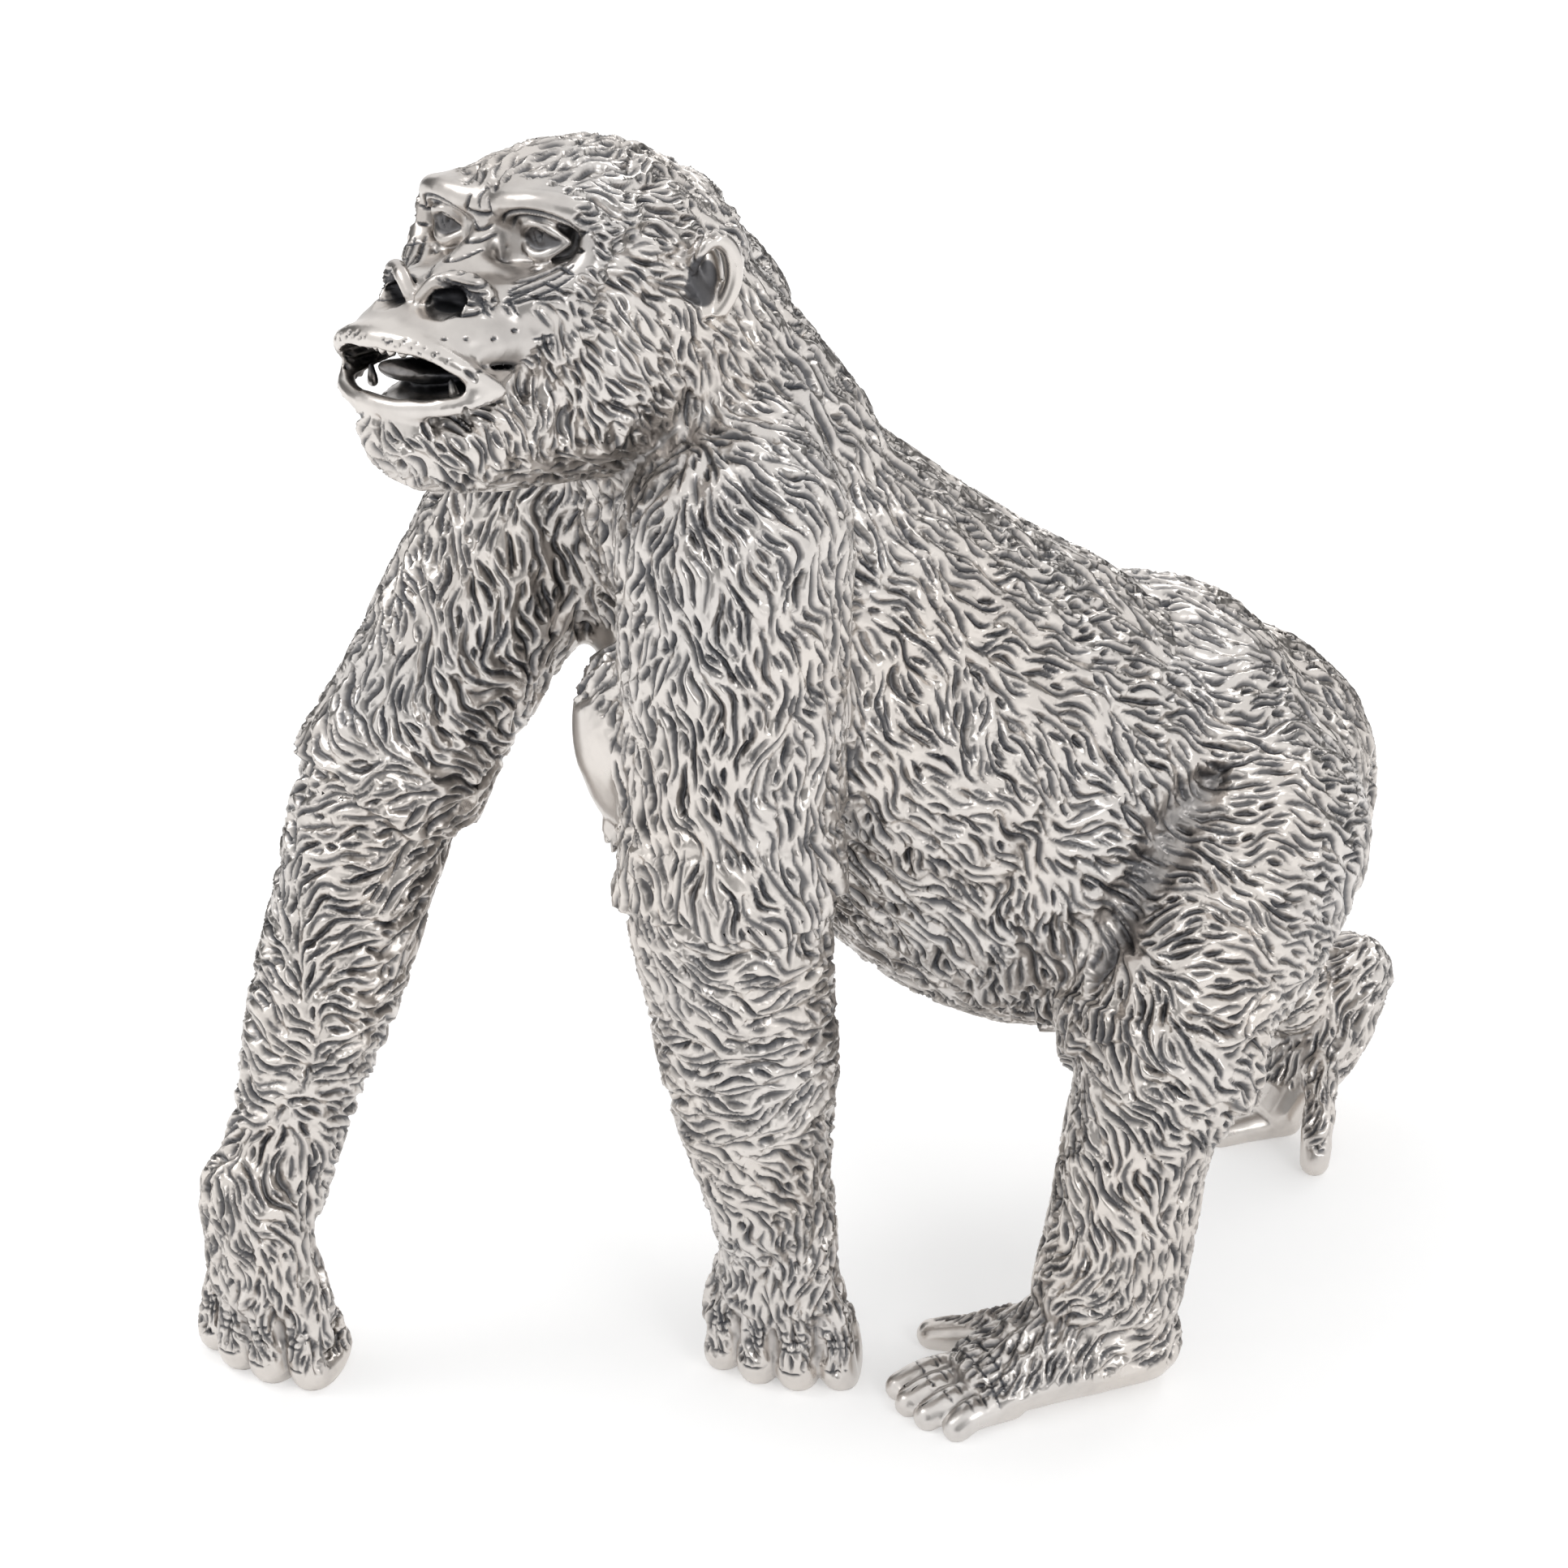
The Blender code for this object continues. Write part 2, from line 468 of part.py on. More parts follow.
def hollow_face(skull, joints, u):
    """Pushes the skin in at the mouth, the nostrils and the bowls of the ears."""
    turned = turning(HEAD_TURN, HEAD_TILT)
    points = np.empty(len(skull.data.vertices)*3, np.float32)
    skull.data.vertices.foreach_get("co", points)
    local = (points.reshape(-1, 3)/MM-np.array(joints["brow"])) @ turned/u
    half = MOUTH_WIDTH/2/u
    gape = MOUTH_GAPE/u
    hollows = [((0, -10.2, -9.2), (half*0.84, 6.6, gape*0.58), 1, 1),
               ((0, -8.0, -10.4), (half*1.04, 5.2, gape*0.34), 1, 1)]
    for side in (-1, 1):
        hollows += [((side*2.6, -8.2, -4.6), (2.0, 2.2, 1.3), 1, 1),
                    ((side*11.1, 12.4, -7.3), (1.2, 1.5, EAR_HEIGHT/2*0.66/u), 0, -side)]
    for centre, radii, axis, way in hollows:
        reach = (local-centre)/radii
        inside = np.sum(reach**2, axis=1) < 1
        across = np.sum(np.delete(reach[inside], axis, 1)**2, axis=1)
        local[inside, axis] = centre[axis]+way*radii[axis]*np.sqrt(1-across)
    skull.data.vertices.foreach_set("co", ((local*u @ turned.T+np.array(joints["brow"]))*MM).ravel())
    skull.data.update()


def hair_guides(joints):
    """Places on the body, and the way that the hair lies at each."""
    guides = []

    def guide(place, way):
        guides.append((np.array(place, float), np.array(way, float)/np.linalg.norm(way)))

    head = frame_at(joints["brow"], HEAD_TURN, HEAD_TILT)
    turned = frame_at((0, 0, 0), HEAD_TURN, HEAD_TILT)
    for side in (-1, 1):
        for place, way in (((3, 3, 3), (0, 1, 0.5)), ((5, 12, 3), (0, 1, -0.15)),
                           ((5, 21, -3), (0, 0.6, -0.8)), ((9, 5, -1), (0.1, 1, 0.1)),
                           ((10, 11, -4), (0, 1, -0.35)), ((8, 4, -9), (0, 0.5, -1)),
                           ((10, 11, -12), (0, 0.35, -1)), ((6, -2, -16), (0, 0.5, -1)),
                           ((0, -12, -17), (0, 0.7, -1)), ((0, 0, -20), (0, 1, -0.2)),
                           ((9, 20, -10), (0, 0.5, -1))):
            guide(head(np.array(place)*(side, 1, 1))[0], turned(np.array(way)*(side, 1, 1))[0])
        name = "left" if side > 0 else "right"
        shoulder, elbow, wrist, hand = (np.array(joints[name+"_"+n])
                                        for n in ("shoulder", "elbow", "wrist", "hand"))
        hip, knee, ankle = (np.array(joints[name+"_"+n]) for n in ("hip", "knee", "ankle"))
        out = np.array((side*8, 0, 0))
        guide(shoulder+out+(0, 0, 4), (side*0.3, 0.3, -1))
        guide(shoulder+(0, -8, 0), (0, 0.1, -1))
        guide(mix(shoulder, elbow, 0.5)+out, (0, 0.15, -1))
        guide(mix(shoulder, elbow, 0.85)+out, (0, 0.3, -1))
        guide(elbow+out+(0, 0, -5), (0, 1, -0.3))
        guide(elbow-out+(0, 0, -5), (0, 1, 0.3))
        guide(mix(elbow, wrist, 0.5)+out, (0, 1, 0.25))
        guide(mix(elbow, wrist, 0.5)+(0, -8, 0), (side, 0.2, 0.1))
        guide(mix(elbow, wrist, 0.85)+out, (0, 0.6, -1))
        guide(hand+(0, 0, 12), (0, 0, -1))
        guide(hip+(side*10, 2, 4), (0, 1, -0.5))
        guide(hip+(side*6, 12, -4), (0, 0.5, -1))
        guide(mix(hip, knee, 0.5)+out, (0, 1, -0.35))
        guide(knee+out, (0, 1, -0.45))
        guide(knee+(0, -8, 0), (side*0.6, 0.2, -1))
        guide(mix(knee, ankle, 0.5)+out*0.8, (0, 0.1, -1))
        guide(ankle+(0, -6, -2), (0, -1, -0.6))
        y = joints["trunk"]
        guide((side*8, y[0.0]+6, SHOULDER_HEIGHT+4), (side*0.2, 1, -0.8))
        guide((side*6, y[0.42], SHOULDER_HEIGHT-8), (side*0.2, 1, -0.6))
        guide((side*6, y[0.83], HIP_HEIGHT+17), (side*0.2, 1, -0.4))
        guide((side*17, y[0.21], SHOULDER_HEIGHT-16), (0, 0.5, -1))
        guide((side*18, y[0.42], SHOULDER_HEIGHT-24), (0, 0.8, -0.8))
        guide((side*20, y[0.62], HIP_HEIGHT+6), (0, 0.9, -0.7))
        guide((side*18, y[0.42], HIP_HEIGHT-6), (0, 0.35, -1))
        guide((side*8, y[0.62], HIP_HEIGHT-18), (-side*0.3, 1, -0.3))
        guide((side*6, y[0.0]-8, SHOULDER_HEIGHT-12), (0, 0.1, -1))
        guide((side*8, y[1.0]+10, HIP_HEIGHT-6), (0, 0.2, -1))
    return guides


def bare_skin(joints, u):
    """Tells where the coat gives way to skin: the face, the fists, the feet and the breasts."""
    head = frame_at(joints["brow"], HEAD_TURN, HEAD_TILT)
    zones = []
    for centre, radii in (((0, -7, -7), (7.2, 9, 4.4)), ((0, -12, -13.0), (8, 6, 1.8)),
                          ((0, -7, -11), (8.6, 6, 2.4)),
                          ((5, 0.6, -2.6), (4.6, 4.6, 4.2)), ((-5, 0.6, -2.6), (4.6, 4.6, 4.2)),
                          ((0, -1, -1), (5, 4, 2.8)), ((11.5, 16.6, -7.4), (2.6, 3.4, 4.4)),
                          ((-11.5, 16.6, -7.4), (2.6, 3.4, 4.4))):
        zones.append((head(np.array(centre)*u)[0], np.array(radii)*u))
    for side in (1, -1):
        zones.append((np.array((side*CHEST_RADIUS*0.45, joints["trunk"][0.0]-13, SHOULDER_HEIGHT-24)),
                      np.array((5.5, 6, 8.5))))
    for name in ("left_hand", "right_hand"):
        zones.append((np.array(joints[name])+(0, 0, 2), np.array((9, 9, KNUCKLE_HEIGHT-3.0))))
    x, y, _ = joints["left_ankle"]
    zones.append((np.array((x-3, y-FOOT_LENGTH-3, 2)), np.array((12, 8.5, 5))))
    zones.append((np.array((x, y, -2)), np.array((16, 24, 4.6))))
    x, y, _ = joints["right_ankle"]
    zones.append((np.array((x, REAR_FOOT_SET+4, 4)), np.array((13, 12, 8))))
    return zones


class Skin:
    """The points of a mesh, with the lie of the hair at each."""

    def __init__(self, mesh, guides, zones, scale_at):
        count = len(mesh.vertices)
        self.points, self.normals = np.empty(count*3, np.float32), np.empty(count*3, np.float32)
        mesh.vertices.foreach_get("co", self.points)
        mesh.vertices.foreach_get("normal", self.normals)
        self.points = self.points.reshape(-1, 3)/MM
        self.normals = self.normals.reshape(-1, 3)
        self.scale = scale_at(self.points)
        self.bare = self.points[:, 2] < GROUND_CLEARANCE
        for centre, radii in zones:
            self.bare |= np.sum(((self.points-centre)/radii)**2, axis=1) < 1
        self.ways = self.comb(guides)
        self.tree = kdtree.KDTree(count)
        for index, point in enumerate(self.points):
            self.tree.insert(point, index)
        self.tree.balance()

    def comb(self, guides):
        """Blends the guides over the skin and lets neighbouring locks wave together."""
        ways = np.zeros_like(self.points)
        for place, way in guides:
            near = 1/(np.sum((self.points-place)**2, axis=1)+4)**2
            ways += near[:, None]*way
        wave = np.zeros(len(ways))
        for pitch, phase in WAVES:
            wave += np.sin(self.points @ np.array(pitch)/LOCK_LENGTH*5 + phase)
        turn = (wave*0.28)[:, None]
        ways -= self.normals*np.sum(ways*self.normals, axis=1)[:, None]
        ways /= np.linalg.norm(ways, axis=1)[:, None]+1e-9
        return ways*np.cos(turn) + np.cross(self.normals, ways)*np.sin(turn)

    def strokes(self, seed):
        """Evenly spaced strokes along the hair: lists of points, each with its scale."""
        rng = np.random.default_rng(seed)
        blocked = self.bare.copy()
        found = []
        for index in rng.permutation(len(self.points)):
            if blocked[index]:
                continue
            scale = self.scale[index]
            step = LOCK_WIDTH*0.35*scale
            sway = rng.uniform(0, 2*np.pi)
            path, here = [self.points[index]], index
            for i in range(int(LOCK_LENGTH*rng.uniform(0.7, 1.2)*scale/step)):
                turn = math.sin(sway+i*0.75)*0.3
                across = np.cross(self.normals[here], self.ways[here])
                ahead = path[-1]+(self.ways[here]*math.cos(turn)+across*math.sin(turn))*step
                _, here, _ = self.tree.find(ahead)
                if blocked[here]:
                    break
                ahead -= self.normals[here]*((ahead-self.points[here]) @ self.normals[here])
                path.append(ahead)
            if len(path) < 4:
                blocked[index] = True
                continue
            for point in path:
                for _, near, _ in self.tree.find_range(point, LOCK_WIDTH*0.8*scale):
                    blocked[near] = True
            found.append((path, scale))
        return found

    def groove_depths(self, strokes):
        """How deep each point of the skin lies in a tapering groove."""
        samples = np.array([p for path, _ in strokes for p in path])
        place = np.array([(i+0.6)/(len(path)+0.2) for path, _ in strokes for i in range(len(path))])
        scale = np.array([s for path, s in strokes for _ in path])
        first = np.array([i == 0 for path, _ in strokes for i in range(len(path))])
        tree = kdtree.KDTree(len(samples))
        for index, sample in enumerate(samples):
            tree.insert(sample, index)
        tree.balance()
        nearest = np.array([tree.find(point)[1] for point in self.points])
        away = np.linalg.norm(self.points-samples[nearest], axis=1)
        for step in (-1, 1):
            other = np.clip(nearest+step, 0, len(samples)-1)
            broken = first[nearest] if step < 0 else first[other]
            run = samples[other]-samples[nearest]
            length = np.sum(run*run, axis=1)+1e-9
            share = np.clip(np.sum((self.points-samples[nearest])*run, axis=1)/length, 0, 1)
            share[broken | (other == nearest)] = 0
            off = self.points-samples[nearest]-run*share[:, None]
            away = np.minimum(away, np.linalg.norm(off, axis=1))
        half = LOCK_WIDTH*0.42*scale[nearest]
        section = np.where(away < half, 0.5+0.5*np.cos(np.pi*away/half), 0)
        return section*np.sin(np.pi*place[nearest])**0.6*LOCK_DEPTH*scale[nearest]


def sculpt():
    """The finished skin, still dense."""
    joints = stance()
    u = HEAD_WIDTH/20.6
    head = frame_at(joints["brow"], HEAD_TURN, HEAD_TILT)

    clay = Clay()
    press_trunk(clay, joints)
    press_limbs(clay, joints)
    body = blend(clay.to_object("gorilla"), BODY_GRAIN, 12)

    clay = Clay()
    press_head(clay, head, u)
    skull = blend(clay.to_object("skull"), BODY_GRAIN*0.5, 12)
    hollow_face(skull, joints, u)

    clay = Clay()
    press_face(clay, head, u)
    press_ears(clay, head, u)
    press_left_foot(clay, joints)
    press_right_foot(clay, joints)
    press_hand(clay, joints["left_hand"], LEFT_HAND_TURN, -1)
    press_hand(clay, joints["right_hand"], RIGHT_HAND_TURN, 1)
    for side in (1, -1):
        set_back = 0 if side > 0 else BREAST_STAGGER
        x = side*(CHEST_RADIUS*0.42+0.6)
        y = joints["trunk"][0.0]-13.6+set_back
        z = SHOULDER_HEIGHT-16.5-BREAST_DROP
        clay.tube([(x, y, z, NIPPLE_RADIUS), (x, y-0.3, z-BREAST_RADIUS*0.75, NIPPLE_RADIUS)],
                  segments=10)
    details = clay.to_object("details")
    return blend(join([body, skull, details]), FINE_GRAIN, 2), joints


def coat(body, joints):
    """Carves the locks of hair, smaller on the head and the hands."""
    u = HEAD_WIDTH/20.6
    skull = np.array(joints["brow"])+np.array((0, 8*u, -8*u))

    def scale_at(points):
        on_head = np.linalg.norm(points-skull, axis=1) < 19*u
        return np.where(on_head, 0.55, np.where(points[:, 2] < WRIST_HEIGHT+4, 0.85, 1.0))

    skin = Skin(body.data, hair_guides(joints), bare_skin(joints, u), scale_at)
    depths = skin.groove_depths(skin.strokes(seed=7))
    body.data.vertices.foreach_set("co", ((skin.points-skin.normals*depths[:, None])*MM).ravel())
    body.data.update()


def stand(body):
    """Trims the underside to the ground and puts the origin under the middle."""
    thin = body.modifiers.new("Thin", "DECIMATE")
    thin.ratio = FACE_COUNT/(2*len(body.data.polygons))
    body.data = evaluated(body)
    body.modifiers.clear()
    ground = Clay()
    size = TRUNK_LENGTH*4
    ground.add(np.array([(x, y, z) for z in (-size, FOOT_PRINT) for y in (-size, size)
                         for x in (-size, size)]),
               [[0, 2, 3, 1], [4, 5, 7, 6], [0, 1, 5, 4], [1, 3, 7, 5], [3, 2, 6, 7], [2, 0, 4, 6]])
    cut(body, ground.to_object("ground"))
    corners = np.array([v.co for v in body.data.vertices])
    middle = (corners.min(axis=0)+corners.max(axis=0))/2
    body.data.transform(Matrix.Translation((-middle[0], -middle[1], -corners[:, 2].min())))


def silver():
    material = bpy.data.materials.new("cast_silver")
    material.use_nodes = True
    shader = material.node_tree.nodes["Principled BSDF"]
    shader.inputs["Base Color"].default_value = (*SILVER, 1)
    shader.inputs["Metallic"].default_value = 1
    shader.inputs["Roughness"].default_value = 0.35
    return material


def main():
    for thing in list(bpy.data.objects):
        bpy.data.objects.remove(thing)
    body, joints = sculpt()
    coat(body, joints)
    stand(body)
    body.name = "gorilla"
    body.data.materials.clear()
    body.data.materials.append(silver())
    body.data.shade_smooth()
    body.data.set_sharp_from_angle(angle=math.radians(70))


main()
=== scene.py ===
import math
from types import SimpleNamespace

import bpy
import numpy as np
from mathutils import Matrix, Vector, geometry, kdtree
from mathutils.bvhtree import BVHTree


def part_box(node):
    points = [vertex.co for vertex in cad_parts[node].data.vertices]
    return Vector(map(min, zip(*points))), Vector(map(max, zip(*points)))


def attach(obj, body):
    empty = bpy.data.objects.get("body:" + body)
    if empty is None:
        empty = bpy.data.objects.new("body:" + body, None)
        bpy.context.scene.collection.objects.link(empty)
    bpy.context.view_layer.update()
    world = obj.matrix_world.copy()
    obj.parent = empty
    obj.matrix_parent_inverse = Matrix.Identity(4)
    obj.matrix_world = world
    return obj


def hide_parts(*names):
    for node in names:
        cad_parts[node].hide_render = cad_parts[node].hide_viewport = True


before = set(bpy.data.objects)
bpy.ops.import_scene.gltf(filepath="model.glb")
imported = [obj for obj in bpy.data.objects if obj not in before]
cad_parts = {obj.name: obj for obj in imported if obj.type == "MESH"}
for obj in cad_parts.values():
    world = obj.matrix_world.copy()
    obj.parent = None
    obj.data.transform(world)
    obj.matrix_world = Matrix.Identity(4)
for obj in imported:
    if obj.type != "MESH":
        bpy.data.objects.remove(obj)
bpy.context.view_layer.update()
mm = 0.001
waves = (((0.6, 0.3, 0.7), 0.4), ((-0.5, 0.8, 0.2), 2.1), ((0.2, -0.6, 0.9), 4.0))

# the figure's forms and pose, in millimetres, as in the part
gorilla = {
    # Trunk
    "shoulderHeight": 87.0,  # centre of the shoulder joints
    "shoulderSpread": 14.0,  # from the middle to each shoulder joint
    "shoulderSet": 14.0,  # y of the shoulder joints
    "neckRadius": 11.2,
    "chestRadius": 16.2,
    "bellyRadius": 21.2,
    "pelvisRadius": 18.4,
    "trunkLength": 52.5,  # along y, from the root of the neck to the rump
    "hipHeight": 47.0,
    "hipSpread": 11.7,
    "breastRadius": 5.0,
    "breastDrop": 9.0,
    "breastStagger": 8.5,  # the right one hangs this far behind the left
    "nippleRadius": 0.9,
    # Arms
    "elbowHeight": 53.5,
    "wristHeight": 18.5,
    "armRadius": 9.5,
    "forearmRadius": 8.5,
    "wristRadius": 5.0,
    "handStride": 21.0,  # each hand stands this far before or behind the middle
    "handSpread": 10.8,
    "leftHandTurn": 48.0,  # degrees, from facing forward
    "rightHandTurn": 30.0,
    "fingerRadius": 1.9,
    "fingerPitch": 3.05,
    "knuckleHeight": 10.5,
    # Legs
    "thighRadius": 11.4,
    "kneeHeight": 33.0,
    "kneeSpread": 21.5,
    "kneeRadius": 8.4,
    "shinRadius": 6.2,
    "ankleHeight": 9.5,
    "footSet": 50.9,  # y of the left ankle
    "footLength": 16.0,  # ankle to the root of the toes
    "footThickness": 9.2,
    "footWidth": 12.4,
    "toeLength": 6.6,
    "toeRadius": 1.5,
    "toePitch": 2.3,
    "rearFootSet": 84.0,  # y of the ball of the right foot
    "heelLift": 14.5,  # the right foot stands on its toes
    # Head
    "browHeight": 113.7,  # the point between the brows
    "browSet": -1.3,
    "browSide": 4.8,
    "headTurn": 24.0,  # degrees to its left
    "headTilt": 6.0,  # degrees, with its left ear up
    "eyeSpacing": 10.2,
    "eyeRadius": 1.95,
    "mouthWidth": 15.2,
    "mouthGape": 3.4,
    "lipRadius": 0.9,
    "earHeight": 6.6,
    # Surface
    "bodyGrain": 0.9,  # size of the cells that blend the big forms
    "footPrint": 0.5,  # how much of the toes, sole and knuckles is cut flat on the ground
    "groundClearance": 1.0,  # no hair is carved lower than this
}
cast = SimpleNamespace(**gorilla)

# the carving of the coat and the skin, in millimetres
carving = {
    "guideGrain": 0.55,       # cells of the skin that the strokes are laid out on
    "headGrain": 0.177,       # cells of the skin that is shown
    "bodyGrain": 0.235,
    "bodyTriangles": 708000,
    "hairGap": 0.82,          # between two strokes of the graver
    "hairLength": (3.4, 9.0),
    "hairDepth": 0.42,
    "headGap": 0.63,
    "headLength": (2.2, 4.8),
    "handGap": 0.68,
    "handLength": (2.2, 5.0),
    "lockGap": 2.7,           # the broad locks under the strokes
    "lockLength": (7.0, 12.0),
    "lockDepth": 0.55,
    "strokeStart": 0.74,      # the clear space a new stroke needs, as a share of the gap
    "strokeNear": 0.56,       # where it ends before another
    "strokeStep": 0.34,
    "strokeWidth": 0.52,      # half of it
    "strokeRidge": 0.07,      # the lip that the graver throws up beside it
    "sway": 0.30,
    "cuffHeight": 1.1,        # where the hair of one limb ends over the next
    "creaseWidth": 3.4,       # half of the fold between belly and thigh
    "creaseDepth": 1.3,
    "lineDepth": 0.24,        # the wrinkles of the face
    "hollow": (0.06, 0.5),    # how deep a dip is where it begins to darken, and where it is black
}
carve = SimpleNamespace(**carving)


def placed(name, data):
    thing = bpy.data.objects.new(name, data)
    bpy.context.scene.collection.objects.link(thing)
    return thing


# A Catmull-Rom curve through rows of numbers
def smoothPath(rows, steps=5):
    p = np.array(rows, float)
    p = np.vstack([2*p[0]-p[1], p, 2*p[-1]-p[-2]])
    out = []
    for i in range(len(p)-3):
        a, b, c, d = p[i:i+4]
        for s in range(steps):
            t = s/steps
            out.append(0.5*(2*b + (c-a)*t + (2*a-5*b+4*c-d)*t*t + (3*b-a-3*c+d)*t**3))
    out.append(p[-2])
    return np.array(out)


# Closed forms, pressed together into one mesh later
class Clay:
    def __init__(self):
        self.points, self.faces, self.count = [], [], 0

    def add(self, points, faces):
        self.points.append(points)
        self.faces += [[i+self.count for i in face] for face in faces]
        self.count += len(points)

    # A round-ended tube through stations of x, y, z, half width and half depth
    def tube(self, stations, side=(1, 0, 0), segments=20, put=None):
        rows = smoothPath([tuple(s) if len(s) == 5 else (*s, s[3]) for s in stations])
        centres, radii = rows[:, :3], np.maximum(rows[:, 3:], 0.05)
        along = np.gradient(centres, axis=0)
        along /= np.linalg.norm(along, axis=1)[:, None]
        angle = np.linspace(0, 2*np.pi, segments, endpoint=False)

        def ring(centre, direction, half, shrink, shift):
            across = np.array(side, float)
            across -= direction*(across @ direction)
            across /= np.linalg.norm(across)
            deep = np.cross(direction, across)
            return (centre + direction*shift + np.outer(np.cos(angle)*half[0]*shrink, across)
                    + np.outer(np.sin(angle)*half[1]*shrink, deep))

        capAngles = np.radians((70, 45, 20))
        rings = [ring(centres[0], along[0], radii[0], math.cos(a), -math.sin(a)*radii[0].min())
                 for a in capAngles]
        rings += [ring(c, d, r, 1, 0) for c, d, r in zip(centres, along, radii)]
        rings += [ring(centres[-1], along[-1], radii[-1], math.cos(a), math.sin(a)*radii[-1].min())
                  for a in capAngles[::-1]]
        tips = [centres[0]-along[0]*radii[0].min(), centres[-1]+along[-1]*radii[-1].min()]
        points = np.vstack(rings+[tips])
        last, n = len(rings)-1, segments
        faces = [[i*n+j, i*n+(j+1) % n, (i+1)*n+(j+1) % n, (i+1)*n+j]
                 for i in range(last) for j in range(n)]
        faces += [[len(points)-2, (j+1) % n, j] for j in range(n)]
        faces += [[len(points)-1, last*n+j, last*n+(j+1) % n] for j in range(n)]
        self.add(put(points) if put else points, faces)

    # An ellipsoid, tilted about one axis
    def ball(self, centre, radii, tilt=0.0, axis="X", put=None, rings=12, segments=24):
        polar = np.linspace(0, np.pi, rings+1)[1:-1]
        turn = np.linspace(0, 2*np.pi, segments, endpoint=False)
        points = [(math.sin(a)*math.cos(b), math.sin(a)*math.sin(b), math.cos(a))
                  for a in polar for b in turn]
        points = np.array(points+[(0, 0, 1), (0, 0, -1)])*np.array(radii)
        points = points @ np.array(Matrix.Rotation(math.radians(tilt), 3, axis)).T + np.array(centre)
        n, last = segments, rings-2
        faces = [[i*n+j, (i+1)*n+j, (i+1)*n+(j+1) % n, i*n+(j+1) % n]
                 for i in range(last) for j in range(n)]
        faces += [[len(points)-2, j, (j+1) % n] for j in range(n)]
        faces += [[len(points)-1, last*n+(j+1) % n, last*n+j] for j in range(n)]
        self.add(put(points) if put else points, faces)

    def toObject(self, name):
        mesh = bpy.data.meshes.new(name)
        mesh.from_pydata((np.vstack(self.points)*mm).tolist(), [], self.faces)
        return placed(name, mesh)


# The matrix of a sideways tilt and then a turn about the upright
def turning(turn, tilt=0.0):
    sideways = Matrix.Rotation(math.radians(turn), 3, "Z")
    return np.array(sideways @ Matrix.Rotation(-math.radians(tilt), 3, "Y"))


# A function that moves local points to a place, tilted and turned
def frameAt(place, turn, tilt=0.0):
    turned = turning(turn, tilt)
    return lambda points: np.atleast_2d(points) @ turned.T + np.array(place, float)


def mix(a, b, share):
    return np.array(a)*(1-share) + np.array(b)*share


# The joints of the pose, by name
def stance():
    neckY = 21.0
    trunk = {share: neckY+cast.trunkLength*share for share in (0.0, 0.21, 0.42, 0.62, 0.83, 1.0)}
    return {
        "trunk": trunk,
        "left_shoulder": (cast.shoulderSpread, cast.shoulderSet+1.8, cast.shoulderHeight),
        "left_elbow": (cast.shoulderSpread+1.6, cast.shoulderSet+0.4, cast.elbowHeight),
        "left_wrist": (cast.handSpread, cast.handStride-0.8, cast.wristHeight),
        "left_hand": (cast.handSpread-0.3, cast.handStride+0.4, 0.0),
        "right_shoulder": (-cast.shoulderSpread+0.5, cast.shoulderSet-0.6, cast.shoulderHeight-0.5),
        "right_elbow": (-cast.shoulderSpread-2.8, cast.shoulderSet-19.0, cast.elbowHeight),
        "right_wrist": (-cast.handSpread-1.1, 2.0-cast.handStride, cast.wristHeight),
        "right_hand": (-cast.handSpread-0.3, -cast.handStride, 0.0),
        "left_hip": (cast.hipSpread, trunk[0.83]+2.4, cast.hipHeight+1.0),
        "left_knee": (cast.kneeSpread, cast.footSet+1.9, cast.kneeHeight),
        "left_ankle": (cast.kneeSpread+1.0, cast.footSet, cast.ankleHeight),
        "right_hip": (-cast.hipSpread, trunk[0.83]+2.4, cast.hipHeight+1.0),
        "right_knee": (2.4-cast.hipSpread-5.0, trunk[0.83]-7.5, cast.kneeHeight-1.5),
        "right_ankle": (-cast.hipSpread+2.1, cast.rearFootSet+2.0, cast.heelLift+1.0),
        "brow": (cast.browSide, cast.browSet, cast.browHeight),
    }


